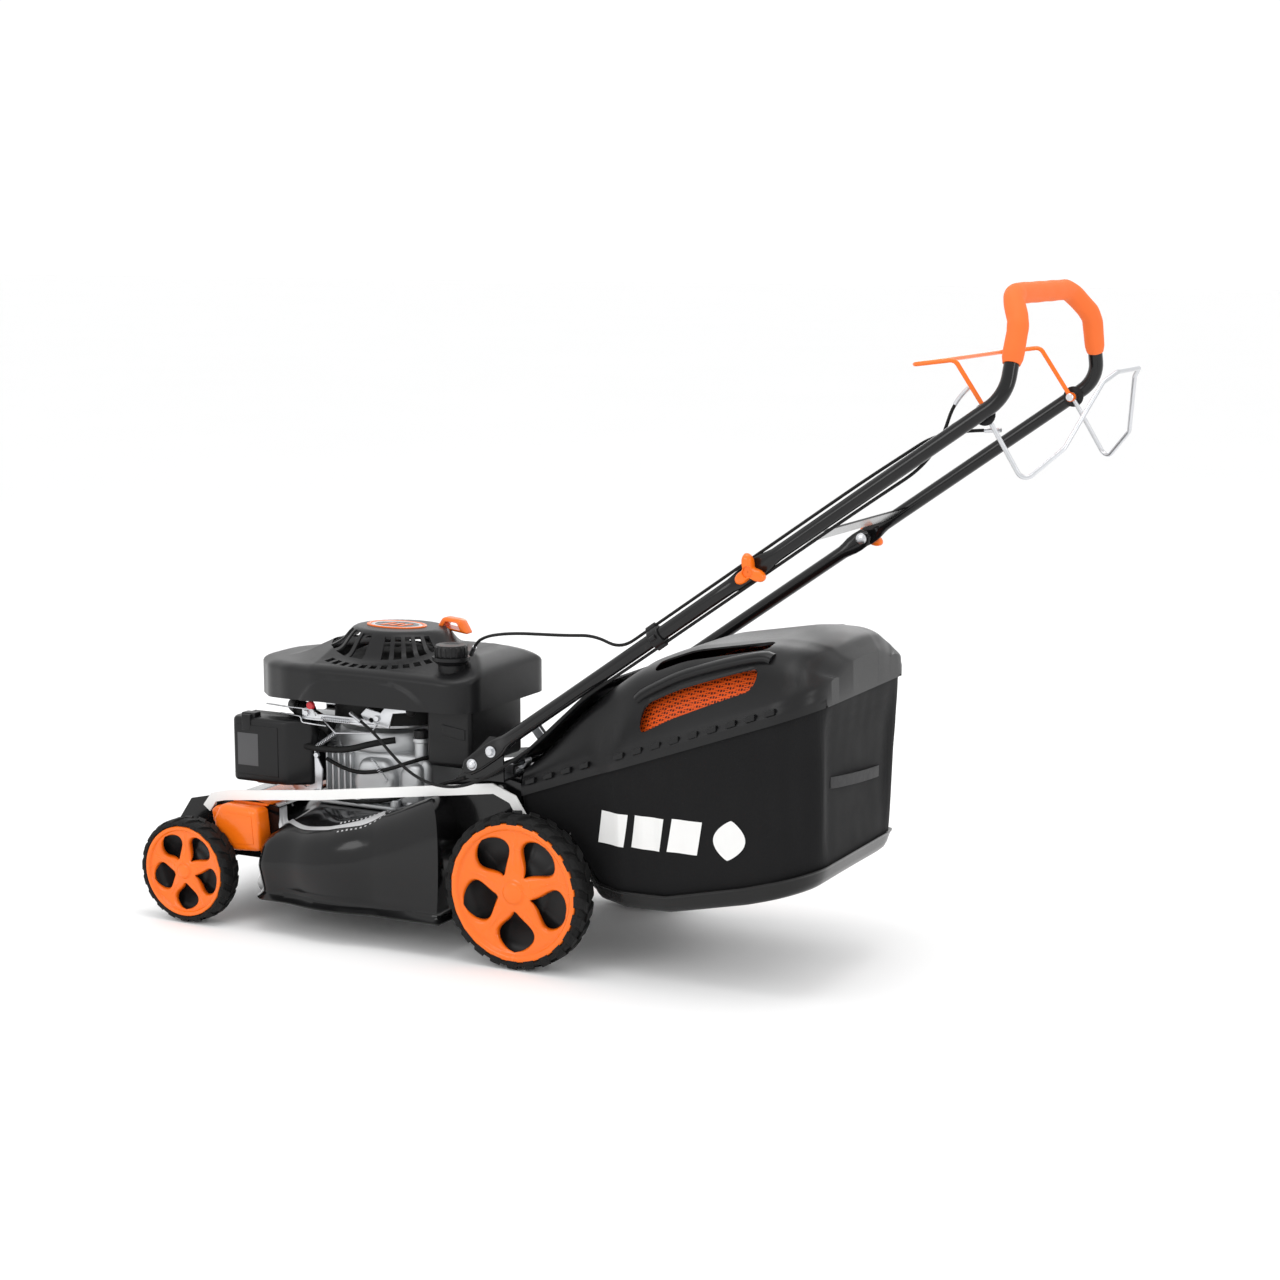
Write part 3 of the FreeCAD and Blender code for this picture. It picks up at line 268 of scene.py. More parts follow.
def copies(obj, count, turn=(0, 0, 0), shift=(0, 0, 0), centre=(0, 0, 0)):
    """Repeats a mesh with Geometry Nodes: each copy is turned about the centre and shifted by one more step."""
    tree = bpy.data.node_groups.new(obj.name + "_copies", "GeometryNodeTree")
    tree.interface.new_socket("Geometry", in_out="OUTPUT", socket_type="NodeSocketGeometry")
    settings = {"Count": count, "Turn": turn, "Shift": shift, "Centre": tuple(centre)}
    sockets = {}
    for name in settings:
        kind = "NodeSocketInt" if name == "Count" else "NodeSocketVector"
        sockets[name] = tree.interface.new_socket(name, in_out="INPUT", socket_type=kind)
    new, link = tree.nodes.new, tree.links.new
    inputs, output = new("NodeGroupInput"), new("NodeGroupOutput")
    source = new("GeometryNodeObjectInfo")
    source.inputs["Object"].default_value = obj
    local = new("GeometryNodeTransform")
    away = new("ShaderNodeVectorMath")
    away.operation = "SCALE"
    away.inputs["Scale"].default_value = -1
    line = new("GeometryNodeMeshLine")
    line.mode = "OFFSET"
    index = new("GeometryNodeInputIndex")
    step = new("ShaderNodeVectorMath")
    step.operation = "SCALE"
    spread = new("GeometryNodeInstanceOnPoints")
    realize = new("GeometryNodeRealizeInstances")
    back = new("GeometryNodeTransform")
    colour = new("GeometryNodeSetMaterial")
    colour.inputs["Material"].default_value = obj.data.materials[0]
    for first, output_name, second, input_name in (
            (inputs, "Centre", away, 0), (source, "Geometry", local, "Geometry"), (away, 0, local, "Translation"),
            (inputs, "Count", line, "Count"), (inputs, "Shift", line, "Offset"), (inputs, "Turn", step, 0),
            (index, 0, step, "Scale"), (line, "Mesh", spread, "Points"), (local, "Geometry", spread, "Instance"),
            (step, 0, spread, "Rotation"), (spread, "Instances", realize, "Geometry"),
            (realize, "Geometry", back, "Geometry"), (inputs, "Centre", back, "Translation"),
            (back, "Geometry", colour, "Geometry"), (colour, "Geometry", output, "Geometry")):
        link(first.outputs[output_name], second.inputs[input_name])
    holder = mesh_object(obj.name + "_set", [], [])
    work = holder.modifiers.new("copies", "NODES")
    work.node_group = tree
    for name, value in settings.items():
        work[sockets[name].identifier] = value
    settle(obj)
    settle(holder)
    bpy.data.objects.remove(obj)
    return holder


def move(obj, matrix):
    obj.data.transform(matrix)
    return obj


# ---- Tyres ----
# Solid black rubber tyres with a rounded carcass. Two staggered rows of slanted lugs cross the
# tread and run a little way down the shoulder, each with a raised pad on the side wall.
rubber = finish("tyre_rubber", (0.006, 0.006, 0.006), 0.6, grain=650, bump=0.5, vary=0.3, patch=30, shine=0.2)


def tyre_mesh(name, radius, rim_radius, width, lugs):
    """Tyre about the Y axis, between y = 0 and y = -width."""
    depth = radius * 0.035
    half = width / 2
    side = [(rim_radius + 0.0002, half - 0.006), (rim_radius + 0.001, half - 0.002), (rim_radius + 0.004, half - 0.0008),
            (radius * 0.925, half - 0.0004), (radius * 0.945, half - 0.0024), (radius - depth - 0.0012, half - 0.007),
            (radius - depth, half - 0.014)]
    profile = side + [(r, -y) for r, y in side[::-1]]
    count, verts, faces = 128, [], []
    for r, y in profile:
        for index in range(count):
            angle = 2 * math.pi * index / count
            verts.append((r * math.cos(angle), y - half, r * math.sin(angle)))
    for ring in range(len(profile)):
        for index in range(count):
            a, b = ring * count + index, ring * count + (index + 1) % count
            c = (ring + 1) % len(profile) * count
            faces.append((a, b, c + (index + 1) % count, c + index))
    carcass = weld(mesh_object(name, verts, faces))
    carcass.data.materials.append(rubber)
    parts = [carcass]
    pitch = 2 * math.pi / lugs
    for row, sign in enumerate((1, -1)):
        outline = [(half - 0.0006, radius - depth * 2.4), (half - 0.0008, radius - depth * 1.3), (half - 0.0035, radius - 0.0022),
                   (half - 0.008, radius - 0.0003), (half * 0.42, radius - 0.0001), (half * 0.06, radius - 0.0002)]
        verts, faces = [], []
        for y, r in outline:
            slant = (half - y) / width * 0.9 * pitch
            for share, low in ((-0.31, True), (-0.27, False), (0.27, False), (0.31, True)):
                angle = pitch * (share + 0.5 * row) + slant
                reach = r - (depth * 1.15 if low else 0)
                verts.append((reach * math.cos(angle), sign * y - half, reach * math.sin(angle)))
        for ring in range(len(outline) - 1):
            for column in range(3):
                a = ring * 4 + column
                faces.append((a, a + 1, a + 5, a + 4))
        last = (len(outline) - 1) * 4
        faces += [(0, 3, 2, 1), (last, last + 1, last + 2, last + 3)]
        lug = weld(mesh_object("%s_lug_%d" % (name, row), verts, faces, False))
        lug.data.materials.append(rubber)
        shell(lug, 0, 0.0005)
        parts.append(copies(lug, lugs, (0, pitch, 0)))
    pad_radius = radius * 0.034
    verts = []
    for height, size in ((half + 0.0006 - 0.0012, 1.0), (half + 0.0003, 0.86)):
        for index in range(6):
            angle = math.pi / 3 * index
            verts.append((radius * 0.915 + pad_radius * size * math.cos(angle), height - half,
                          pad_radius * size * math.sin(angle) * 1.25))
    faces = [(0, 1, 2, 3, 4, 5), (11, 10, 9, 8, 7, 6)] + [(i, (i + 1) % 6, (i + 1) % 6 + 6, i + 6) for i in range(6)]
    pad = weld(mesh_object(name + "_pad", verts, faces, False))
    pad.data.materials.append(rubber)
    parts.append(copies(pad, lugs, (0, pitch, 0)))
    return join(name, parts)


SIDES = ((1, "left"), (-1, "right"))
for end, lugs in (("rear", 24), ("front", 20)):
    for sign, side in SIDES:
        wheel = "%s_%s" % (end, side)
        low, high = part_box(wheel + "_tyre")
        rim_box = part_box(wheel + "_rim")
        radius, width = (high.z - low.z) / 2, high.y - low.y
        rim_radius = (rim_box[1].z - rim_box[0].z) / 2
        face = high.y if sign > 0 else low.y
        seat = Matrix.Translation(((low.x + high.x) / 2, face, (low.z + high.z) / 2))
        if sign < 0:
            seat = seat @ Matrix.Rotation(math.pi, 4, "Z")
        rim = rim_mesh(wheel + "_wheel", rim_radius, width)
        rim.data.materials.append(orange)
        done(move(settle(rim), seat), wheel + "_wheel", "orange_plastic", wheel + "_rim")
        backing = backing_mesh(wheel + "_backing", rim_radius, width * 0.55)
        backing.data.materials.append(black_plastic)
        done(move(settle(backing), seat), wheel + "_wheel", "black_plastic")
        tyre = tyre_mesh(wheel + "_tyre_tread", radius, rim_radius, width, lugs)
        done(move(tyre, seat), wheel + "_wheel", "tyre", wheel + "_tyre")

# ---- Deck ----
# Pressed steel deck, painted gloss black. The shoulder of the round blade chamber swells on the left
# into a duct that climbs to the rear, where a tunnel leads the clippings to the catcher.
gloss_black = finish("gloss_black_enamel", (0.004, 0.004, 0.0043), 0.17, grain=260, bump=0.03, vary=0.3, coat=0.16, shine=0.25)


def span(value, *pairs):
    """Straight-line reading of a value between listed pairs."""
    if value <= pairs[0][0]:
        return pairs[0][1]
    for (low, first), (high, last) in zip(pairs, pairs[1:]):
        if value <= high:
            return first + (last - first) * (value - low) / (high - low)
    return pairs[-1][1]


def eased(value, low, high):
    t = min(max((value - low) / (high - low), 0), 1)
    return t * t * (3 - 2 * t)


def grid_object(name, rows, closed=True, smooth=True):
    """Surface through rows of points; each row closes on itself if asked."""
    width = len(rows[0])
    verts = [point for row in rows for point in row]
    faces = []
    for r in range(len(rows) - 1):
        for c in range(width if closed else width - 1):
            a, b = r * width + c, r * width + (c + 1) % width
            faces.append((a, b, b + width, a + width))
    return mesh_object(name, verts, faces, smooth)


def outward_up(obj):
    """Turns an open sheet so that its top faces the sky."""
    if sum(face.normal.z * face.area for face in obj.data.polygons) < 0:
        obj.data.flip_normals()
    return obj


def crease(obj, degrees=35):
    """Keeps corners sharper than the given angle crisp under smooth shading."""
    obj.data.polygons.foreach_set("use_smooth", [True] * len(obj.data.polygons))
    obj.data.set_sharp_from_angle(angle=math.radians(degrees))
    return obj


def curve_through(corners, count):
    """Smooth line of evenly counted points that a few control points pull along."""
    data = bpy.data.curves.new("line", "CURVE")
    data.dimensions = "3D"
    spline = data.splines.new("NURBS")
    spline.points.add(len(corners) - 1)
    for point, corner in zip(spline.points, corners):
        point.co = (*corner, 1)
    spline.order_u = 3
    spline.use_endpoint_u = True
    spline.resolution_u = 12
    obj = bpy.data.objects.new("line", data)
    bpy.context.scene.collection.objects.link(obj)
    bpy.context.view_layer.update()
    mesh = bpy.data.meshes.new_from_object(obj.evaluated_get(bpy.context.evaluated_depsgraph_get()))
    line = [v.co.copy() for v in mesh.vertices]
    bpy.data.objects.remove(obj)
    bpy.data.meshes.remove(mesh)
    lengths = [0.0]
    for a, b in zip(line, line[1:]):
        lengths.append(lengths[-1] + (b - a).length)
    even = []
    for index in range(count):
        goal = lengths[-1] * index / (count - 1)
        k = min(max(next((i for i, l in enumerate(lengths) if l >= goal), len(lengths) - 1), 1), len(lengths) - 1)
        share = (goal - lengths[k - 1]) / max(lengths[k] - lengths[k - 1], 1e-9)
        even.append(line[k - 1].lerp(line[k], min(max(share, 0), 1)))
    return even


def deck_reach(angle):
    """Distance from the crankshaft to the skirt: round, but pushed out to the duct on the left."""
    angle %= 2 * math.pi
    if not math.radians(40) < angle < math.radians(158):
        return 240.0
    along = 148 if math.cos(angle) > 0 else 217
    return max(240.0, min(228 / math.sin(angle), along / max(abs(math.cos(angle)), 0.001)))


CRANK_X = 355
deck_rows = []
for index in range(240):
    angle = 2 * math.pi * index / 240
    around = [deck_reach(angle + math.radians(step)) for step in (-4, -3, -2, -1, 0, 1, 2, 3, 4)]
    reach = sum(around) / 9 if angle < math.radians(110) else deck_reach(angle)
    swell = eased(math.degrees(angle), 46, 66) * (1 - eased(math.degrees(angle), 146, 157))
    x = CRANK_X + (reach - 20) * math.cos(angle)
    rise = swell * (span(x, (110, 244), (138, 238), (227, 204), (300, 182), (365, 168), (502, 150)) - 150)
    crest = 150 + rise
    controls = [(30, 0, 200), (120, 0, 200), (150, 0, 200), (reach - 66, 0, 184 + rise * 0.8),
                (reach - 40, 0, 170 + rise * 1.1), (reach - 10, 0, crest + 2), (reach, 0, crest - 36),
                (reach, 0, 112 + rise * 0.3), (reach - 8 * swell, 0, 86), (reach - 16 * swell, 0, 68),
                (reach - 10 * swell + 1, 0, 61.5), (reach - 4 * swell + 5, 0, 61), (reach - 4 * swell + 5.5, 0, 58)]
    profile = curve_through(controls, 44)
    deck_rows.append([at(CRANK_X + p.x * math.cos(angle), p.x * math.sin(angle), p.z) for p in profile])
chamber = grid_object("chamber", list(map(list, zip(*deck_rows))))
shell(outward_up(chamber), 0.0022)


def rounded_box(name, outline, low, high, roll, open_faces=(), plane="xz"):
    """Solid pulled straight from an outline in millimetres, with every edge rolled."""
    def spot(a, b, c):
        return at(a, c, b) if plane == "xz" else at(a, b, c) if plane == "xy" else at(c, a, b)
    count = len(outline)
    verts = [spot(a, b, side) for side in (low, high) for a, b in outline]
    faces = [(i, (i + 1) % count, (i + 1) % count + count, i + count) for i in range(count) if i not in open_faces]
    faces += [tuple(range(count)), tuple(range(2 * count - 1, count - 1, -1))]
    obj = mesh_object(name, verts, faces)
    if not open_faces:
        weld(obj)
    if roll:
        edge = obj.modifiers.new("roll", "BEVEL")
        edge.width = roll / 1000
        edge.segments = 4
        edge.limit_method = "ANGLE"
        edge.angle_limit = math.radians(20)
    return obj


nose = rounded_box("nose", [(495, 107), (621, 107), (621, 124), (657, 124), (657, 107), (691, 107), (691, 152), (669, 184),
                            (600, 199.5), (495, 199.5)], -158, 158, 14, open_faces=(0, 1, 2, 3, 4, 9))
outward_up(nose)
shell(settle(nose), 0.0022)
tunnel = rounded_box("tunnel", [(22, 190), (150, 190), (150, 122), (246, 122), (246, 199), (214, 200), (116, 299.5), (22, 299.5)],
                     -158, 158, 10, open_faces=(7,))
outward_up(tunnel)
shell(settle(tunnel), 0.0022)
deck = join("deck_body", [chamber, nose, tunnel], gloss_black)
done(crease(deck, 50), "chassis", "black_steel", "deck_shell")

# Printed trim on the chamber's left shoulder: a thin silver sweep with a hatched front end and a
# row of slanted bars behind it, lying on the paint.
silver_ink = finish("silver_ink", (0.62, 0.62, 0.63), 0.35, metal=0.6, bump=0.02, vary=0.1)


def on_deck(obj, lift=0.0006):
    """Drops every point of a flat sheet straight down onto the deck."""
    settle(obj)
    wrap = obj.modifiers.new("wrap", "SHRINKWRAP")
    wrap.target = deck
    wrap.wrap_method = "PROJECT"
    wrap.use_project_z = True
    wrap.use_negative_direction = True
    wrap.use_positive_direction = False
    wrap.offset = lift
    return settle(obj)


TRIM_REACH, ABOVE_DECK = 204, 290
sweep_rows = []
for index in range(61):
    angle = math.radians(34 + 82 * index / 60)
    wide = 9 if index < 14 else span(index, (14, 9), (20, 4), (44, 4), (60, 9))
    sweep_rows.append([at(CRANK_X + r * math.cos(angle), r * math.sin(angle), ABOVE_DECK)
                       for r in [TRIM_REACH + wide * side for side in (-1, -0.33, 0.33, 1)]])
trim_sweep = outward_up(grid_object("trim_sweep", sweep_rows, closed=False))
bars = []
for index in range(12):
    angle = math.radians(92 + 2.2 * index)
    for side, drift in ((-1, 0), (1, 0.03)):
        for share in (0, 0.016):
            bars.append((angle + drift + share, TRIM_REACH + 12 * side))
bar_verts = [at(CRANK_X + r * math.cos(a), r * math.sin(a), ABOVE_DECK) for a, r in bars]
bar_faces = [(4 * i, 4 * i + 1, 4 * i + 3, 4 * i + 2) for i in range(12)]
trim_bars = outward_up(mesh_object("trim_bars", bar_verts, bar_faces))
done(join("deck_trim", [on_deck(trim_sweep), on_deck(trim_bars)], silver_ink), "chassis", "white_steel")

# ---- Nose cover ----
# Glossy orange moulding that wraps the front shoulders of the deck, hooked under the side rails and
# held by a strap across the top.
for side in (1, -1):
    low, high = sorted((159 * side, 199 * side))
    ear = rounded_box("ear", [(507, 128), (600, 122), (604, 180), (590, 203), (514, 200)], low, high, 9)
    rib = rounded_box("rib", [(520, 140), (590, 136), (593, 176), (583, 190), (524, 188)],
                      *sorted((198.4 * side, 200.2 * side)), 0.7)
    lug = rounded_box("lug", [(598, 170), (612, 166), (616, 188), (606, 196), (598, 194)],
                      *sorted((162 * side, 186 * side)), 3)
    cover = join("nose_cover_left" if side > 0 else "nose_cover_right", [ear, rib, lug], orange)
    done(crease(cover, 40), "chassis", "orange_plastic", "front_cover")
strap = rounded_box("nose_strap", [(515, 199.6), (585, 199.6), (585, 203.4), (515, 203.4)], -165, 165, 1.2)
strap.data.materials.append(orange)
done(settle(strap), "chassis", "orange_plastic")

# ---- Rails, axles and handle feet ----
# White-painted flat rails run along both sides; the cranked axles and the pressed handle feet are
# bare or painted steel, cut and welded, so their machined shapes stay as they are.
satin_white = finish("satin_white_paint", (0.80, 0.80, 0.79), 0.33, bump=0.06, vary=0.04, coat=0.3)
zinc = finish("zinc_plate", (0.60, 0.61, 0.63), 0.30, metal=1.0, grain=1500, bump=0.12, vary=0.12)
cast_alloy = finish("cast_alloy", (0.52, 0.53, 0.54), 0.42, metal=0.85, grain=700, bump=0.55, vary=0.18)
dark_iron = finish("dark_iron", (0.05, 0.048, 0.046), 0.5, metal=0.7, grain=500, bump=0.4, vary=0.35)


def recolour(material, *names):
    """A machined piece keeps its shape and takes the real finish."""
    for name in names:
        mesh = nodes[name].data
        mesh.materials.clear()
        mesh.materials.append(material)


recolour(satin_white, "side_rails")
recolour(zinc, "rear_axle", "front_axle", "flap_rod", "blade_bolt", "crankshaft", "muffler_guard")
recolour(gloss_black, "handle_brackets", "cross_brace")
recolour(black_plastic, "axle_bushes", "height_lever_grip", "air_filter_base")
recolour(cast_alloy, "carburettor", "transmission", "flywheel")
recolour(dark_iron, "muffler", "blade", "blade_adapter", "engine_pulley", "transmission_pulley", "spark_plug")
recolour(rubber, "drive_belt")

# ---- Engine cover ----
# Satin black moulding over the recoil starter and fan. A dome with four angular vents on each front
# quarter stands on a wide shoulder; a raised arch panel stiffens each side wall above the engine.
satin_black = finish("satin_black_moulding", (0.0065, 0.0065, 0.007), 0.34, grain=1100, bump=0.22, vary=0.15, shine=0.27)
# Black plastic of the fan shroud, made darker and more matte than the other mouldings as painted shade for the inside
# of the cover seen through its vents.
cavity_black = finish("cavity_black", (0.004, 0.004, 0.004), 0.8, vary=0.3)
COVER_PLAN = [(132, -112), (132, 118), (166, 145), (430, 146), (500, 130), (548, 106), (604, 44), (604, -44), (548, -106),
              (500, -130), (430, -146), (166, -145)]
COVER_MIDDLE = (362, 0)
DOME_MIDDLE, DOME_RADII = (348, 0), (128, 106)


def edge_reach(angle, outline, middle):
    """Distance from the middle to a plan outline along one direction."""
    dx, dy = math.cos(angle), math.sin(angle)
    best = 0
    for (x1, y1), (x2, y2) in zip(outline, outline[1:] + outline[:1]):
        ex, ey = x2 - x1, y2 - y1
        cross = dx * ey - dy * ex
        if abs(cross) < 1e-9:
            continue
        t = ((x1 - middle[0]) * ey - (y1 - middle[1]) * ex) / cross
        u = ((x1 - middle[0]) * dy - (y1 - middle[1]) * dx) / cross
        if t > 0 and -0.001 <= u <= 1.001:
            best = max(best, t)
    return best


def cover_height(x, y):
    """Top of the engine cover over one spot of its plan, in millimetres."""
    side = 437 - 0.34 * max(x - 440, 0) + 0.36 * (146 - abs(y))
    front = span(x, (430, 490), (475, 468), (545, 432), (575, 412), (596, 390), (604, 381))
    rear = span(x, (132, 454), (165, 470), (210, 478), (250, 482))
    base = min(side, front, rear, 474)
    reach = math.hypot((x - DOME_MIDDLE[0]) / DOME_RADII[0], (y - DOME_MIDDLE[1]) / DOME_RADII[1])
    dome = 500 - 3 * reach ** 2 - 50 * eased(reach, 0.60, 1.04)
    step = max(base, dome)
    return step + 2.0 * math.exp(-((base - dome) / 4.0) ** 2)


cover_rows = []
shares = [i / 40 for i in range(1, 37)] + [0.925, 0.95, 0.97, 0.985, 0.995, 1.0]
for index in range(256):
    angle = 2 * math.pi * index / 256
    reach = sum(edge_reach(angle + math.radians(s), COVER_PLAN, COVER_MIDDLE) for s in (-3, -1.5, 0, 1.5, 3)) / 5
    row = []
    for share in shares:
        x, y = COVER_MIDDLE[0] + reach * share * math.cos(angle), COVER_MIDDLE[1] + reach * share * math.sin(angle)
        lip = 10 * (1 - math.sqrt(max(1 - ((share - 0.9) / 0.1) ** 2, 0))) if share > 0.9 else 0
        row.append((x, y, cover_height(x, y) - lip))
    x, y, top = row[-1]
    foot = span(x, (420, 386), (500, 381), (598, 372))
    for level in range(1, 15):
        z = top + (foot - top) * level / 14
        arch = 0.0
        if abs(y) > 96 and x > 200:
            crown = 429 - 34 * max(abs(x - 335) / 118, 0) ** 4
            arch = 3.4 * eased(crown - z, -2.5, 2.5) * eased(470 - x, -4, 4) * eased(x - 216, -4, 4)
        row.append((x, y + math.copysign(arch, y), z))
    cover_rows.append([at(*p) for p in row])
cover_top = [[at(COVER_MIDDLE[0], COVER_MIDDLE[1], cover_height(*COVER_MIDDLE))] * 256]
hood = grid_object("engine_hood", cover_top + list(map(list, zip(*cover_rows))))
hood = weld(hood, 0.00001, outward=False)
outward_up(hood)
hood.data.materials.append(satin_black)
settle(shell(hood, 0.003))


def wedge(low, high, near, far, floor_z, roof_z):
    """Cutter with straight walls between two directions and two shares of the dome's oval."""
    corners = []
    for share, a in ((near, low), (near, high), (far, high), (far, low)):
        corners.append((DOME_MIDDLE[0] + share * DOME_RADII[0] * math.cos(math.radians(a)),
                        DOME_MIDDLE[1] + share * DOME_RADII[1] * math.sin(math.radians(a))))
    verts = [at(x, y, z) for z in (floor_z, roof_z) for x, y in corners]
    faces = [(0, 3, 2, 1), (4, 5, 6, 7)] + [(i, (i + 1) % 4, (i + 1) % 4 + 4, i + 4) for i in range(4)]
    return weld(mesh_object("wedge", verts, faces, False))


def carve(obj, cutters):
    """Cuts openings through a wall."""
    tool = join("cutters", cutters)
    weld(tool)
    cut = obj.modifiers.new("cut", "BOOLEAN")
    cut.operation = "DIFFERENCE"
    cut.solver = "EXACT"
    cut.object = tool
    settle(obj)
    bpy.data.objects.remove(tool)
    return obj


cutters = []
for side in (1, -1):
    for low, high, near, far in ((14, 27, 0.66, 0.96), (31, 45, 0.66, 0.97), (50, 65, 0.66, 0.97), (70, 84, 0.68, 0.96)):
        cutters.append(wedge(*sorted((low * side, high * side)), near, far, 440, 520))
    for index in range(12):
        angle = (62 + 7.4 * index) * side
        cutters.append(wedge(angle - 2.2, angle + 2.2, 1.10, 1.24, 420, 500))
    for index in range(5):
        angle = (104 + 11 * index) * side
        cutters.append(wedge(angle - 3.4, angle + 3.4, 0.70, 0.94, 440, 520))
carve(hood, cutters)
done(crease(hood, 32), "chassis", "black_plastic", "engine_cover")

# Fan shroud under the cover; its extra-dark matte black is partly its own black plastic and partly painted shade inside
# the cover.
shroud_rows = [[at(CRANK_X + r * math.cos(2 * math.pi * i / 64), r * math.sin(2 * math.pi * i / 64), z) for i in range(64)]
               for r, z in ((4, 462), (60, 460), (104, 440), (108, 345))]
shroud = shell(outward_up(grid_object("fan_shroud", shroud_rows)), 0.002)
shroud.data.materials.append(cavity_black)
done(settle(shroud), "chassis", "black_plastic")

# The oval plate on the dome is a plain two-ring emblem with three slanted bars.
def oval(name, centre, low_share, high_share, radii, z, height, material):
    rows = []
    for share, level in ((low_share, z - 1.5), (low_share, z + height * 0.7), (low_share + 0.02, z + height),
                         (high_share - 0.02, z + height), (high_share, z + height * 0.7), (high_share, z - 1.5)):
        rows.append([at(centre[0] + share * radii[0] * math.cos(a), centre[1] + share * radii[1] * math.sin(a), level)
                     for a in [2 * math.pi * i / 96 for i in range(96)]])
    rows.append(rows[0])
    ringed = weld(grid_object(name, rows))
    ringed.data.materials.append(material)
    return ringed


badge_top = cover_height(CRANK_X, 0)
for name, low_share, high_share, sunk, height, material, slot, replaced in (
        ("cover_emblem", 0.88, 1.0, 1, 2.6, orange, "orange_plastic", ["cover_badge"]),
        ("cover_emblem_ring", 0.74, 0.86, 1, 2.2, silver_ink, "white_steel", []),
        ("cover_emblem_plate", 0.01, 0.74, 1.2, 1.6, gloss_black, "black_plastic", [])):
    part = oval(name, (CRANK_X, 0), low_share, high_share, (56, 36), badge_top - sunk, height, material)
    done(crease(settle(part)), "chassis", slot, *replaced)
emblem_bars = []
for x in (CRANK_X - 17, CRANK_X, CRANK_X + 17):
    emblem_bars.append(rounded_box("bar", [(x - 8, -14), (x - 1, -14), (x + 8, 14), (x + 1, 14)], badge_top - 0.5,
                                   badge_top + 1.1, 0.4, plane="xy"))
done(crease(join("cover_emblem_bars", emblem_bars, orange)), "chassis", "orange_plastic")

# ---- Fuel cap, oil cap and starter handle ----
# Ribbed screw caps of black plastic, and the orange handle of the recoil starter parked on the dome.
def turned(name, centre, profile, axis="z", count=64):
    """Piece turned on a lathe from (radius, height) pairs, in millimetres."""
    rows = []
    for radius, height in profile:
        ring = []
        for i in range(count):
            a = 2 * math.pi * i / count
            u, v = radius * math.cos(a), radius * math.sin(a)
            x, y, z = {"z": (u, v, height), "y": (u, height, v), "x": (height, u, v)}[axis]
            ring.append(at(centre[0] + x, centre[1] + y, centre[2] + z))
        rows.append(ring)
    return weld(grid_object(name, rows))


for name, node, body, centre, radius, low, high in (
        ("fuel_cap_top", "fuel_cap", "fuel_filler_cap", (188, 98), 27.6, 472.5, 494),
        ("oil_cap_top", "oil_cap", "oil_filler_cap", (256, 84), 13.2, 328.5, 342)):
    tall = high - low
    core = turned(name, (*centre, low), [(0.5, 0), (radius * 0.94, 0), (radius * 0.96, 1), (radius * 0.96, tall - 3.5),
                                         (radius * 0.9, tall - 1), (radius * 0.6, tall - 0.4), (radius * 0.5, tall - 1.6),
                                         (0.5, tall - 1.6)])
    core.data.materials.append(satin_black)
    flute = rounded_box("flute", [(centre[0] + radius * 0.93, low + 1), (centre[0] + radius, low + 1.5),
                                  (centre[0] + radius, high - 4), (centre[0] + radius * 0.93, high - 2.5)],
                        centre[1] - radius * 0.05, centre[1] + radius * 0.05, 0.4)
    flute.data.materials.append(satin_black)
    settle(flute)
    flutes = copies(flute, 18, (0, 0, math.pi / 9), (0, 0, 0), at(*centre, 0))
    cap = join(name, [core, flutes])
    done(crease(cap), body, "black_plastic", node)
neck = turned("fuel_neck", (188, 98, 430), [(20, 0), (22, 30), (31, 38), (31, 43.5), (20, 43.5)])
neck.data.materials.append(satin_black)
done(crease(settle(shell(settle(neck), 0.002))), "chassis", "black_plastic")

grip_body = rounded_box("starter_grip_bar", [(234, 486.5), (296, 494.5), (283, 514), (249, 511)], -55, -29, 5.5)
settle(grip_body)
hole = rounded_box("hole", [(247, 493), (283, 498), (276, 507.5), (254, 505.5)], -70, -14, 2.5)
hole.data.materials.append(orange)
grip_body.data.materials.append(orange)
carve(grip_body, [hole])
done(crease(grip_body), "starter_grip", "orange_plastic", "starter_handle")

# ---- Air filter box ----
# Black moulded box low on the left front of the engine. Its cover slants off at the rear, and a clip
# tab on top holds it; a plain plate sits where the maker's sticker would be.
lid = rounded_box("filter_box_lid", [(604, 97.6), (604, 130), (597, 142.5), (492, 142.5), (452, 118), (450, 97.6)], 233, 345, 7,
                  plane="xy")
tab = rounded_box("tab", [(556, 118), (584, 118), (584, 138), (556, 138)], 342, 352, 2.5, plane="xy")
tab_step = rounded_box("tab_step", [(561, 134), (579, 134), (579, 144.6), (561, 144.6)], 322, 350, 2, plane="xy")
frame_low = rounded_box("face_panel", [(506, 141.8), (594, 141.8), (594, 143.8), (506, 143.8)], 246, 332, 1.2, plane="xy")
foot_low = rounded_box("foot", [(520, 104), (560, 104), (560, 130), (520, 130)], 229.5, 235, 1.5, plane="xy")
box_lid = join("filter_box_cover", [lid, tab, tab_step, frame_low, foot_low], satin_black)
done(crease(box_lid), "filter_lid", "black_plastic", "air_filter_cover")
blank = rounded_box("filter_box_plate", [(546, 143.4), (588, 143.4), (588, 144.2), (546, 144.2)], 262, 318, 0.3, plane="xy")
blank.data.materials.append(finish("blank_plate", (0.055, 0.055, 0.058), 0.3, grain=200, bump=0.05, vary=0.1))
done(crease(settle(blank)), "filter_lid", "black_plastic")

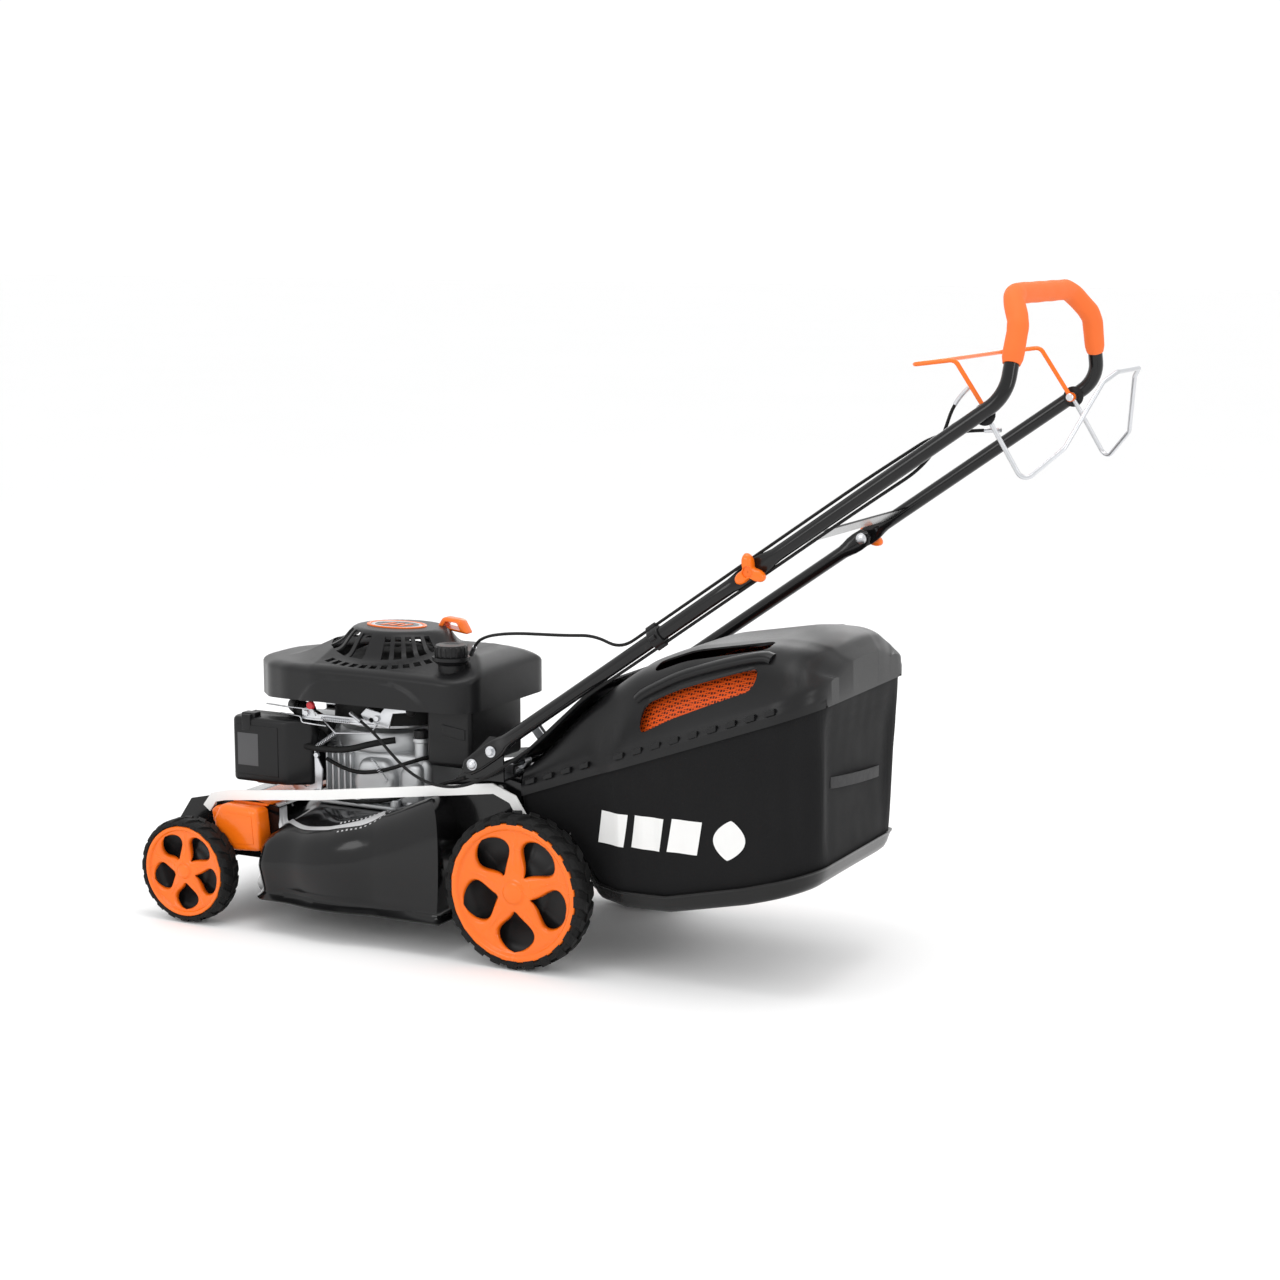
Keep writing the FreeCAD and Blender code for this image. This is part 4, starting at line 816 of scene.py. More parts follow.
# ---- Engine castings and linkage ----
# Die-cast alloy crankcase and cylinder with cooling fins, a plated bracket with a six-sided window,
# the governor rods and springs, and the rubber breather hose to the filter box.
def pipe(name, path, radius, sides=12, flat=None, cap=True):
    """Round bar or hose along a path given in millimetres; flat gives (across, up) shares per point."""
    points = [at(*p) for p in path]
    rows, normal = [], None
    for i, point in enumerate(points):
        ahead = (points[min(i + 1, len(points) - 1)] - points[max(i - 1, 0)]).normalized()
        if normal is None:
            guide = Vector((0, 1, 0)) if abs(ahead.y) < 0.9 else Vector((0, 0, 1))
            normal = (guide - ahead * guide.dot(ahead)).normalized()
        else:
            normal = (normal - ahead * normal.dot(ahead)).normalized()
        side = ahead.cross(normal)
        across, up = flat[i] if flat else (1, 1)
        size = radius[i] if isinstance(radius, (list, tuple)) else radius
        rows.append([point + (normal * across * math.cos(a) + side * up * math.sin(a)) * size / 1000
                     for a in [2 * math.pi * k / sides for k in range(sides)]])
    if cap:
        rows = [[points[0]] * sides] + rows + [[points[-1]] * sides]
    return weld(grid_object(name, rows))


def bent(corners, bend, steps=8):
    """Path through corners, each rounded to the bend radius, in millimetres."""
    corners = [Vector(c) for c in corners]
    path = [corners[0]]
    for before, corner, after in zip(corners, corners[1:], corners[2:]):
        back, on = (before - corner).normalized(), (after - corner).normalized()
        turn = math.pi - back.angle(on)
        if turn < 0.02:
            path.append(corner)
            continue
        cut = min(bend * math.tan(turn / 2), 0.49 * (before - corner).length, 0.49 * (after - corner).length)
        radius = cut / math.tan(turn / 2)
        middle = corner + (back + on).normalized() * radius / math.cos(turn / 2)
        start, end = corner + back * cut - middle, corner + on * cut - middle
        for i in range(steps + 1):
            path.append(middle + start.slerp(end, i / steps, start).normalized() * radius)
    path.append(corners[-1])
    return [tuple(p) for p in path]


castings = [
    rounded_box("case", [(234, 208), (438, 208), (438, 286), (420, 300), (250, 300), (234, 286)], -94, 94, 12),
    rounded_box("flange", [(220, 200.5), (452, 200.5), (452, 208.5), (220, 208.5)], -105, 105, 3),
    rounded_box("case_bulge", [(300, 214), (372, 214), (378, 250), (362, 288), (312, 290), (294, 262)], 84, 112, 11),
    rounded_box("sump_boss", [(246, 212), (288, 212), (288, 272), (270, 290), (246, 284)], 86, 106, 9),
    rounded_box("head", [(440, 238), (470, 238), (470, 330), (440, 330)], -46, 46, 6),
    rounded_box("valve_box", [(560, 246), (588, 250), (588, 322), (560, 326)], -42, 42, 9),
    turned("oil_spout", (256, 84, 284), [(12, 0), (12, 36), (15, 38), (15, 44), (10, 44), (10, 0)]),
    turned("top_drum", (355, 0, 298), [(0.5, 0), (98, 0), (100, 4), (100, 26), (96, 32), (0.5, 32)]),
]
for x in (236, 268, 300, 372, 404, 436):
    castings.append(turned("bolt_boss", (x, 99, 208), [(9, 0), (9, 10), (7.5, 12), (0.5, 12)], count=20))
rib = rounded_box("case_rib", [(384, 214), (388, 214), (388, 290), (384, 294)], 90, 104, 1.4)
rib.data.materials.append(cast_alloy)
settle(rib)
fin = rounded_box("fin", [(452, 240), (556, 240), (556, 243), (452, 243)], -52, 52, 1)
fin.data.materials.append(cast_alloy)
settle(fin)
ribs = copies(rib, 5, (0, 0, 0), (0.012, 0, 0))
fins = copies(fin, 10, (0, 0, 0), (0, 0, 0.0094))
casting = join("engine_castings", castings + [ribs, fins], cast_alloy)
done(crease(casting, 40), "chassis", "cast_alloy", "engine_crankcase", "engine_cylinder")

window_plate = rounded_box("window_bracket", [(440, 212), (484, 212), (500, 228), (500, 262), (478, 296), (452, 296), (436, 262)],
                           110, 113.5, 1.2)
opening = rounded_box("hexagon", [(452, 236), (470, 228), (488, 236), (488, 254), (470, 262), (452, 254)], 100, 124, 0)
opening.data.materials.append(zinc)
window_plate.data.materials.append(zinc)
carve(settle(window_plate), [opening])
foot_tab = rounded_box("foot_tab", [(440, 212), (500, 212), (500, 215), (440, 215)], 84, 113.5, 0.8)
arm = rounded_box("control_arm", [(296, 346), (340, 352), (352, 366), (340, 378), (312, 372), (300, 386), (258, 386), (258, 376),
                                  (288, 372)], 118, 122.5, 1.6)
shelf = rounded_box("control_shelf", [(322, 346.5), (470, 346.5), (470, 350), (322, 350)], 92, 120, 1)
shelf_lip = rounded_box("control_lip", [(322, 346.5), (472, 346.5), (472, 366), (456, 368), (440, 358), (336, 358), (322, 366)],
                        116, 118.5, 1)
bolts = [turned("bolt", (x, y, z), [(0.4, 4.5), (4.8, 4.5), (5.6, 3.6), (5.6, 0), (0.4, 0)], "y", 6)
         for x, y, z in ((446, 113, 286), (478, 113, 286), (448, 113, 222), (462, 118, 358), (330, 118, 358), (318, 122, 362))]
plates = join("control_plates", [window_plate, foot_tab, arm, shelf, shelf_lip] + bolts, zinc)
done(crease(plates), "chassis", "zinc_steel", "control_bracket")

rods = [pipe("rod", bent(path, 6), 1.3, 8) for path in (
    [(520, 112, 352), (470, 124, 352), (470, 124, 342), (420, 124, 340)],
    [(560, 96, 362), (500, 122, 366), (446, 124, 366), (440, 124, 356)],
    [(430, 121, 352), (400, 126, 330), (330, 124, 336), (318, 124, 354)])]
for x0, z0, x1, z1, radius in ((400, 330, 444, 300, 3.6), (300, 256, 330, 292, 3.4), (372, 352, 428, 352, 3.2)):
    start, end = Vector((x0, 124, z0)), Vector((x1, 124, z1))
    along = (end - start).normalized()
    up = Vector((0, 1, 0)).cross(along)
    coil = []
    for i in range(14 * 12 + 1):
        a, share = 2 * math.pi * i / 12, i / (14 * 12)
        coil.append(start.lerp(end, share) + (Vector((0, 1, 0)) * math.cos(a) + up * math.sin(a)) * radius)
    rods.append(pipe("spring", [tuple(p) for p in coil], 0.6, 6))
done(join("governor_linkage", rods, zinc), "chassis", "zinc_steel")

choke = turned("choke_cam", (452, 119, 372), [(0.4, 6), (6, 6), (7.5, 4), (7.5, 0), (0.4, 0)], "y", 24)
choke.data.materials.append(finish("red_plastic", (0.55, 0.02, 0.03), 0.35, bump=0.05, vary=0.08))
done(crease(choke), "chassis", "orange_plastic")
hoses = [turned("lever_ball", (252, 122, 380), [(0.3, -9), (3.4, -8.4), (6.4, -6.4), (8.4, -3.4), (9, 0), (8.4, 3.4), (6.4, 6.4),
                                                (3.4, 8.4), (0.3, 9)], "y", 28)]
for name, count, radius, sides, route in (
        ("breather", 40, 5.5, 14, [(506, 96, 300), (486, 116, 302), (440, 126, 300), (380, 126, 302), (330, 116, 318),
                                   (300, 96, 322)]),
        ("duct", 24, 13, 20, [(540, 40, 352), (505, 80, 356), (470, 96, 350), (430, 92, 330)]),
        ("brake_sheath", 50, 3.2, 10, [(440, 121, 222), (380, 128, 214), (300, 134, 224), (230, 140, 250), (170, 150, 272),
                                       (120, 170, 290)]),
        ("fuel_line", 40, 3.4, 10, [(226, 60, 300), (250, 112, 296), (310, 122, 272), (380, 118, 262), (430, 108, 280)])):
    hoses.append(pipe(name, curve_through(route, count), radius, sides))
done(crease(join("hoses", hoses, rubber)), "chassis", "rubber")

# Six raised rings round the duct, drawn out along its run.
ring_piece = turned("duct_ring", (505, 80, 356), [(13, -1.4), (15.2, -1.4), (15.2, 1.4), (13, 1.4), (13, -1.4)], "x", 24)
ring_piece.data.materials.append(rubber)
bellows = copies(settle(ring_piece), 6, (0, 0, 0), (-0.0062, 0.0018, -0.0008))
bellows.name = "duct_bellows"
done(bellows, "chassis", "rubber")

# ---- Fuel tank ----
# Black tank housing behind the engine, under the cover's tail, with rolled corners and a seam.
tank = [rounded_box("tank_block", [(142, 289), (228, 289), (228, 434), (142, 434)], -57, 116, 10),
        rounded_box("tank_seam", [(140.5, 384), (229.5, 384), (229.5, 387), (140.5, 387)], -58.5, 117.5, 1.2),
        rounded_box("tank_pad", [(152, 338), (196, 344), (196, 362), (152, 356)], 115, 117.6, 1)]
done(crease(join("tank_housing", tank, satin_black)), "chassis", "black_plastic", "fuel_tank")

# ---- Handle ----
# Steel tube handle in two parts. The flattened ends of the lower tubes are bolted to the deck; the
# upper loop folds down on two bolts with three-lobed orange knobs and carries a ribbed foam grip.
FOLD, RISE, ACROSS = Vector((-410.2, 0, 668.2)), Vector((-0.81915, 0, 0.57358)), Vector((0.57358, 0, 0.81915))


def on_handle(distance, y=0.0, above=0.0):
    """Point in millimetres at a distance along the handle from the fold bolts."""
    spot = FOLD + RISE * distance + ACROSS * above
    return (spot.x, y, spot.z)


for side, label in SIDES:
    stops = [-619, -616, -610, -590, -560, -545, -532, -520, -508] + list(range(-490, -50, 20)) + [-44, -34, -24, -12, 4, 10, 13]
    path, flat = [], []
    for t in stops:
        press = max(eased(-t, 508, 548), eased(t, -48, -16))
        tip = 1 - 0.6 * max(eased(-t, 606, 619), eased(t, 2, 13))
        path.append(on_handle(t, side * (217 - 4.5 * press)))
        flat.append((1 - 0.68 * press, (1 + 0.38 * press) * tip))
    leg = pipe("lower_handle_" + label, path, 11, 24, flat)
    leg.data.materials.append(gloss_black)
    done(crease(leg, 50), "chassis", "black_steel", *(["lower_handles"] if side > 0 else []))

corners = [Vector(c) for c in (on_handle(60, 217), (-794, 217, 937), (-796, 173, 1037), (-771.4, 132.5, 1076.8))]
corners += [Vector((c.x, -c.y, c.z)) for c in corners[::-1]]
loop = []
for a, b in zip(bent(corners, 55, 10), bent(corners, 55, 10)[1:]):
    a, b = Vector(a), Vector(b)
    pieces = max(1, int((b - a).length / 9))
    loop += [a.lerp(b, i / pieces) for i in range(pieces)]
loop.append(Vector(on_handle(60, -217)))
start = [(-13, 0.4), (-10, 0.62), (-4, 0.9), (6, 1), (14, 1), (24, 1), (34, 1), (44, 1)]
path = [Vector(on_handle(t, 217 + 4.5 * (1 - eased(t, 14, 46)))) for t, tip in start]
flat = [(0.32 + 0.68 * eased(t, 14, 46), tip * (1.38 - 0.38 * eased(t, 14, 46))) for t, tip in start]
path = path + loop + [Vector((p.x, -p.y, p.z)) for p in path[::-1]]
flat = flat + [(1, 1)] * len(loop) + flat[::-1]
upper = pipe("upper_handle_loop", [tuple(p) for p in path], 11, 24, flat)
upper.data.materials.append(gloss_black)
done(crease(upper, 50), "handle_top", "black_steel", "upper_handle")

foam_orange = finish("foam_orange", (0.80, 0.150, 0.028), 0.62, grain=900, bump=0.6, vary=0.08, shine=0.25)
gripped = [p for p in loop if p.z > 976]
sizes = [15.4 - (2.6 if i in (0, len(gripped) - 1) else 0.4 if i in (1, len(gripped) - 2) else 0) + 0.25 * math.sin(i * 0.9)
         for i in range(len(gripped))]
foam = pipe("foam_grip_sleeve", [tuple(p) for p in gripped], sizes, 32)
foam.data.materials.append(foam_orange)
done(crease(foam, 60), "handle_top", "foam", "foam_grip")


def turned_on(name, side, distance, low, profile, count=32):
    """Turned piece whose axis runs across the machine at one place on the handle."""
    x, _, z = on_handle(distance)
    return turned(name, (x, 0, z), [(r, side * (low + h)) for r, h in profile], "y", count)


for side, label in SIDES:
    fixings = []
    for distance in (-598, -556):
        head = [(0.3, 5.4), (3.6, 4.9), (6.4, 3.2), (7.6, 0.8), (7.7, 0), (0.3, 0)] if distance == -598 else \
               [(0.3, 5.2), (5.2, 5.2), (6.6, 4.2), (6.6, 0), (0.3, 0)]
        fixings.append(turned_on("head", side, distance, 217.2, head, 32 if distance == -598 else 6))
        fixings.append(turned_on("washer", side, distance, 216.0, [(0.3, 1.3), (9.0, 1.3), (9.2, 1.0), (9.2, 0), (0.3, 0)]))
        fixings.append(turned_on("nut", side, distance, 200.0, [(0.3, 4.6), (6.4, 4.6), (6.4, 0), (0.3, 0)], 6))
    fixings.append(turned_on("fold_bolt", side, 0, 201.5, [(0.3, 24), (4, 24), (4, 6), (9, 6), (9, 2), (6, 0), (0.3, 0)]))
    fixings = join("handle_bolts_" + label, fixings, zinc)
    done(crease(fixings), "chassis", "zinc_steel", *(["handle_bolts"] if side > 0 else []))
    rows = []
    x, _, z = on_handle(0)
    for level, size in ((0, 0.04), (0, 0.78), (1.2, 0.9), (4, 0.97), (9, 1.0), (13, 0.93), (15.6, 0.8), (16, 0.66), (16, 0.3),
                        (13.4, 0.27), (13.4, 0.03)):
        ring = []
        for k in range(72):
            a = 2 * math.pi * k / 72
            wing = abs(math.cos(1.5 * (a + 0.7))) ** 2.6
            reach = (10.5 + 17.5 * wing) * size if size > 0.3 else 30 * size
            ring.append(at(x + reach * math.cos(a), side * (225.2 + level), z + reach * math.sin(a)))
        rows.append(ring)
    knob = weld(grid_object("wing_knob_three_lobed_" + label, rows))
    knob.data.materials.append(orange)
    done(crease(knob, 45), "knob_" + label, "orange_plastic", "wing_knob_" + label)

# ---- Bails and their pivots ----
# Two bent wire bails share a pivot pin on each side of the loop: the orange one holds the engine
# brake off, the plated one drives the rear wheels.
BAIL_PIVOT = (-760, 0, 910)
for name, body, half, material, slot in (
        ("brake_bail_wire", "brake_lever", [(-757, 192, 914.5), (-709, 192, 985), (-645, 192, 976.5)], orange, "orange_wire"),
        ("drive_bail_wire", "drive_lever", [(-762.5, 200, 905.8), (-817, 200, 816), (-863, 160, 863), (-892, 80, 952),
                                            (-905.5, 54, 966)], zinc, "zinc_steel")):
    whole = half + [(x, -y, z) for x, y, z in half[::-1]]
    pieces = [pipe("wire", bent(whole, 13, 8), 3.4, 16)]
    for side in (1, -1):
        y = half[0][1]
        eye = [(3.2, y - 2.8), (7.2, y - 2.8), (7.2, y + 2.8), (3.2, y + 2.8), (3.2, y - 2.8)]
        pieces.append(turned("eye", BAIL_PIVOT, [(r, side * edge) for r, edge in eye], "y", 28))
    wire = join(name, pieces, material)
    done(crease(wire, 50), body, slot, "brake_bail" if body == "brake_lever" else "drive_bail")
for side, label in SIDES:
    hub = []
    for part, profile, count, material in (
            ("cup", [(0.3, 204.4), (15, 204.4), (16, 205), (16, 206.4), (0.3, 206.4)], 40, satin_black),
            ("pin", [(0.3, 184.6), (5, 184.6), (6, 185.6), (6, 187.4), (3, 187.6), (3, 205), (0.3, 205)], 28, zinc)):
        hub.append(turned(part, BAIL_PIVOT, [(r, side * y) for r, y in profile], "y", count))
        hub[-1].data.materials.append(material)
    done(crease(join("bail_pivot_" + label, hub)), "handle_top", "black_steel", *(["bail_brackets"] if side > 0 else []))

# ---- Control cables ----
# Two Bowden cables in black sleeves, tied to the left tube by one moulded clip, with plated
# ferrules at both ends. Each bends across the fold of the handle.
def under(distance, y=217.0):
    return on_handle(distance, y, -14.6)


def over(distance, y=217.0):
    return on_handle(distance, y, 16.2)


cable_routes = {
    "brake_cable": [(372, 121, 366), (318, 140, 346), (262, 172, 318), (205, 200, 294), (148, 222, 285), (92, 234, 290),
                    (40, 239, 312), (-8, 238, 344), (-56, 236, 380), under(-360, 230), under(-305, 221), under(-250),
                    under(-195), under(-140), under(-30), under(80), under(190), under(245, 212), under(300, 204),
                    on_handle(350, 201.5, 2), on_handle(395, 196, 40), (-728, 184.5, 945)],
    "drive_cable": [(158, 84, 476), (140, 100, 500), (104, 126, 517), (60, 152, 528), (12, 176, 536), (-38, 196, 541),
                    (-90, 209, 545), (-142, 215, 550), over(-260), over(-205), over(-150), over(-40), over(70), over(180),
                    over(235, 213), over(290, 201), over(338, 190), on_handle(388, 186, -6), on_handle(428, 190, -32)]}
for name, route in cable_routes.items():
    line = curve_through(route, 180)
    sleeve = pipe(name + "_sleeve", [tuple(p) for p in line], 2.5, 12)
    sleeve.data.materials.append(rubber)
    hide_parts(name)
    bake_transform(sleeve)
    for ends, body, label in ((line[:5], "chassis", "low"), (line[-5:], "handle_top", "high")):
        ferrule = pipe(name + "_ferrule_" + label, [tuple(p) for p in ends], 3.5, 16)
        ferrule.data.materials.append(zinc)
        done(crease(ferrule), body, "zinc_steel")
clip = [pipe("band", [on_handle(t, 217) for t in (-205, -204, -186, -185)], [14.2, 15.4, 15.4, 14.2], 32),
        pipe("loop_over", [over(t) for t in (-204, -187)], 5.0, 16),
        pipe("loop_under", [under(t) for t in (-204, -187)], 5.0, 16),
        pipe("buckle", [on_handle(t, 232, 0) for t in (-201, -190)], 4.0, 12)]
done(crease(join("cable_clip_moulded", clip, satin_black)), "chassis", "black_plastic", "cable_clip")

# ---- Rear flap ----
# Moulded guard flap with a raised border, hung from a rod by three barrels; a wound wire spring
# holds it down on the catcher, or shut when the catcher is off.
FLAP_ALONG = Vector((math.cos(math.radians(137)), 0, math.sin(math.radians(137))))
FLAP_UP = Vector((math.sin(math.radians(137)), 0, -math.cos(math.radians(137))))
flap_rows = []
for i in range(57):
    s = 2 + 210 * i / 56
    half = 146 - 26 * max((s - 178) / 34, 0) ** 2.2
    row = []
    for j in range(81):
        y = half * (j / 40 - 1)
        edge = min(half - abs(y), 212 - s, s)
        bead = 1.7 * math.exp(-((edge - 17) / 2.6) ** 2) - 1.1 * eased(edge, 20, 24)
        spot = Vector((46, 0, 313)) + FLAP_ALONG * s + FLAP_UP * (3.2 + bead)
        row.append(at(spot.x, y, spot.z))
    flap_rows.append(row)
panel = shell(outward_up(grid_object("flap_panel", flap_rows, closed=False)), 0.0032)
parts = [panel]
for low, high in ((-146, -72), (-40, 40), (72, 94)):
    parts.append(turned("barrel", (46, 0, 313), [(3.4, low), (7, low), (7, high), (3.4, high), (3.4, low)], "y", 24))
done(crease(join("rear_flap", parts, satin_black)), "flap", "black_plastic", "discharge_flap")
coil = [(46 + 9 * math.cos(k * math.pi / 8), 98 + 20 * k / 128, 313 + 9 * math.sin(k * math.pi / 8)) for k in range(129)]
coil = [(62, 98, 296), (56, 98, 306)] + coil + [(34, 119, 330), (18, 119, 345)]
spring = pipe("flap_spring_wire", coil, 1.1, 8)
spring.data.materials.append(zinc)
done(spring, "chassis", "zinc_steel", "flap_spring")

# ---- Catcher lid ----
# Hard moulded lid of the grass catcher. A carry bar runs along each slope between two long finger
# openings, with an orange guard net behind them; a slotted rim band clamps the bag round its edge.
LID_STATIONS = ((20, 160, 118, 322), (-60, 161, 120, 404), (-112, 164, 122, 446), (-165, 190, 124, 482), (-255, 198, 128, 516),
                (-400, 206, 140, 540), (-455, 209, 146, 538), (-490, 210, 150, 526), (-503, 210, 150, 500))


def rim_z(x):
    return 279 - 0.3608 * (x - 20)


def lid_reading(x, column):
    """Half width, half width of the crown, or height of the crown at one place along the lid."""
    pairs = tuple((-s[0], s[column]) for s in LID_STATIONS)
    near = sum(span(-x + shift, *pairs) for shift in (-14, -7, 0, 7, 14)) / 5
    if column in (1, 2) and x < -432:
        near -= 72 * (1 - math.sqrt(max(1 - ((-432 - x) / 72) ** 2, 0)))
    return near


def lid_section(x):
    half, crown, top = lid_reading(x, 1), lid_reading(x, 2), lid_reading(x, 3)
    rim = rim_z(x)
    top = max(top, rim + 30)
    lifted = 6 * eased(-x, 120, 190)
    side = [(half + 3.5, rim - 10), (half + 4, rim + 1), (half + 3.6, rim + 8), (half, rim + 10), (half - 1, rim + 24),
            (crown + (half - crown) * 0.5, rim + 22 + (top - rim - 22) * 0.56), (crown + 12, top - 14),
            (crown - 14, top - 1), (crown * 0.62, top + lifted - 2), (crown * 0.55, top + lifted), (0, top + lifted + 1)]
    return [(x, y, z) for y, z in side] + [(x, -y, z) for y, z in side[-2::-1]]


def lid_surface(x, y):
    """Height of the lid's slope or crown at one spot."""
    half, crown, top, rim = lid_reading(x, 1), lid_reading(x, 2), lid_reading(x, 3), rim_z(x)
    if abs(y) < crown:
        return top
    return rim + 22 + (top - rim - 22) * (half - abs(y)) / (half - crown)


lid_rows = []
for i in range(105):
    x = 20 - 523 * i / 104
    lid_rows.append([at(*p) for p in curve_through(lid_section(x), 101)])
last = [Vector((p.x - 0.0006, p.y, at(0, 0, rim_z(-503) - 10).z)) for p in lid_rows[-1]]
lid_rows.append(last)
cover = outward_up(grid_object("catcher_cover", lid_rows, closed=False))
cover.data.materials.append(satin_black)
settle(shell(cover, 0.0028))
slots = []
for side in (1, -1):
    for inner, outer in ((94, 132), (160, 186)):
        low, high = sorted((inner * side, outer * side))
        slot_cutter = rounded_box("slot", [(-200, low), (-200, high), (-396, high), (-396, low)], 380, 620, 0, plane="xy")
        settle(slot_cutter)
        bevel = slot_cutter.modifiers.new("round", "BEVEL")
        bevel.width, bevel.segments, bevel.limit_method = 0.012, 5, "ANGLE"
        slots.append(settle(slot_cutter))
carve(cover, slots)
done(crease(cover, 40), "catcher", "black_plastic", "catcher_lid")

for side, label in SIDES:
    bar = []
    for i in range(25):
        x = -184 - 228 * i / 24
        sink = 9 * (1 - math.sin(math.pi * i / 24) ** 0.35)
        bar.append((x, side * (147 - 2 * math.sin(math.pi * i / 24)), lid_surface(x, 147) - 1 - sink))
    grip = pipe("carry_bar_" + label, bar, [12.5] * 25, 24, [(1.15, 0.8)] * 25)
    grip.data.materials.append(satin_black)
    done(crease(grip, 50), "catcher", "black_plastic")
    net_rows = [[at(-176 - 240 * i / 40, side * (82 + 108 * j / 20), lid_surface(-176 - 240 * i / 40, 82 + 108 * j / 20) - 22 -
                    10 * math.sin(math.pi * j / 20)) for j in range(21)] for i in range(41)]
    net = outward_up(grid_object("guard_net_" + label, net_rows, closed=False))
    if side > 0:
        net_orange = finish("net_orange", (0.72, 0.085, 0.005), 0.5, grain=60, bump=0.2, vary=0.2, shine=0.3)
        tree = net_orange.node_tree
        weave = add_node(tree, "TexVoronoi", Scale=190, Randomness=0.15)
        weave.feature = "DISTANCE_TO_EDGE"
        strand = add_node(tree, "MapRange", From_Min=0.12, From_Max=0.22)
        dark = add_node(tree, "Mix")
        dark.data_type = "RGBA"
        dark.inputs[7].default_value = (0.05, 0.006, 0.002, 1)
        spot = next(node for node in tree.nodes if node.type == "TEX_COORD")
        colour = tree.nodes["Principled BSDF"].inputs["Base Color"].links[0].from_socket
        tree.links.new(spot.outputs["Object"], weave.inputs["Vector"])
        tree.links.new(weave.outputs["Distance"], strand.inputs["Value"])
        tree.links.new(strand.outputs["Result"], dark.inputs[0])
        tree.links.new(colour, dark.inputs[6])
        tree.links.new(dark.outputs[2], tree.nodes["Principled BSDF"].inputs["Base Color"])
    net.data.materials.append(net_orange)
    done(settle(shell(net, 0.0012)), "catcher", "fabric")
    for tag, count, first, second in (("long", 9, (-172, 193.0), (-205, 195.4)), ("short", 4, (2, 164.6), (-31, 165.4))):
        x, y = first
        rim = rim_z(x)
        clamp = rounded_box("clamp", [(x - 8, rim + 9), (x + 8, rim + 3.2), (x + 8, rim + 12), (x - 8, rim + 17.8)],
                            *sorted((side * (y - 4), side * (y + 4.2))), 1.1)
        clamp.data.materials.append(satin_black)
        settle(clamp)
        step = Vector((second[0] - x, side * (second[1] - y), rim_z(second[0]) - rim_z(x))) / 1000
        row = copies(clamp, count, (0, 0, 0), tuple(step))
        row.name = "rim_clamps_%s_%s" % (tag, label)
        done(crease(row), "catcher", "black_plastic")

# ---- Catcher bag ----
# Woven polyester bag, one sheet wrapped round both sides and the back, sewn into the rim band and
# the tray. It hangs slightly slack, so the air drawn out of it pulls its walls in.
BAG_STATIONS = ((20, 158, 196), (-62, 160, 190), (-118, 163, 112), (-165, 178, 108), (-250, 186, 112), (-385, 190, 143),
                (-503, 192, 178))


def wrap_path(half_at, rear, corner, steps):
    """Plan line from the front left, round the back with wide corners, to the front right."""
    left = [(20, half_at(20))] + [(x, half_at(x)) for x in range(0, int(rear + corner), -40)]
    plan = [Vector((x, y, 0)) for x, y in left]
    middle_y = half_at(rear + corner) - corner
    for i in range(9):
        a = math.pi / 2 * i / 8
        plan.append(Vector((rear + corner - corner * math.sin(a), middle_y + corner * math.cos(a), 0)))
    plan += [Vector((p.x, -p.y, 0)) for p in plan[::-1]]
    lengths = [0.0]
    for a, b in zip(plan, plan[1:]):
        lengths.append(lengths[-1] + (b - a).length)
    line = []
    for i in range(steps):
        goal = lengths[-1] * i / (steps - 1)
        k = min(max(next((n for n, l in enumerate(lengths) if l >= goal - 1e-6), len(lengths) - 1), 1), len(lengths) - 1)
        share = (goal - lengths[k - 1]) / max(lengths[k] - lengths[k - 1], 1e-9)
        line.append(plan[k - 1].lerp(plan[k], share))
    return line


def bag_bottom(x):
    return span(-x, *tuple((-s[0], s[2]) for s in BAG_STATIONS))


def bag_half(x):
    return span(-x, *tuple((-s[0], s[1]) for s in BAG_STATIONS))


BAG_COLUMNS, BAG_LEVELS, SETTLING_FRAMES = 181, 31, 26
upper_line = wrap_path(lambda x: lid_reading(max(x, -430), 1) - 1.5, -500, 72, BAG_COLUMNS)
lower_line = wrap_path(lambda x: bag_half(x) - 10, -494, 64, BAG_COLUMNS)
bag_rows = []
for level in range(BAG_LEVELS):
    share = level / (BAG_LEVELS - 1)
    row = []
    for low, high in zip(lower_line, upper_line):
        bottom, top = bag_bottom(low.x) + 24, rim_z(high.x) - 4
        spot = Vector((low.x, low.y, bottom)).lerp(Vector((high.x, high.y, top)), share)
        row.append(at(*spot))
    bag_rows.append(row)
bag = grid_object("catcher_bag", bag_rows, closed=False)
if bag.data.polygons[0].normal.y < 0:
    bag.data.flip_normals()
pins = bag.vertex_groups.new(name="sewn")
for index, vertex in enumerate(bag.data.vertices):
    level, along = divmod(index, BAG_COLUMNS)
    if level in (0, BAG_LEVELS - 1) or along in (0, BAG_COLUMNS - 1):
        pins.add([index], 1.0, "REPLACE")
cloth = bag.modifiers.new("cloth", "CLOTH")
for setting, value in (("vertex_group_mass", "sewn"), ("quality", 6), ("mass", 0.02), ("tension_stiffness", 40),
                       ("compression_stiffness", 40), ("shear_stiffness", 12), ("bending_stiffness", 14), ("air_damping", 6),
                       ("shrink_min", -0.001), ("use_pressure", True), ("uniform_pressure_force", -10)):
    setattr(cloth.settings, setting, value)
cloth.point_cache.frame_start, cloth.point_cache.frame_end = 1, SETTLING_FRAMES
for step in range(1, SETTLING_FRAMES + 1):
    bpy.context.scene.frame_set(step)
settle(bag)
bpy.context.scene.frame_set(1)
woven = finish("woven_polyester", (0.006, 0.006, 0.0065), 0.72, grain=500, bump=0.2, vary=0.25, patch=14, shine=0.15)
tree = woven.node_tree
shader = tree.nodes["Principled BSDF"]
shader.inputs["Sheen Weight"].default_value, shader.inputs["Sheen Roughness"].default_value = 0.05, 0.4
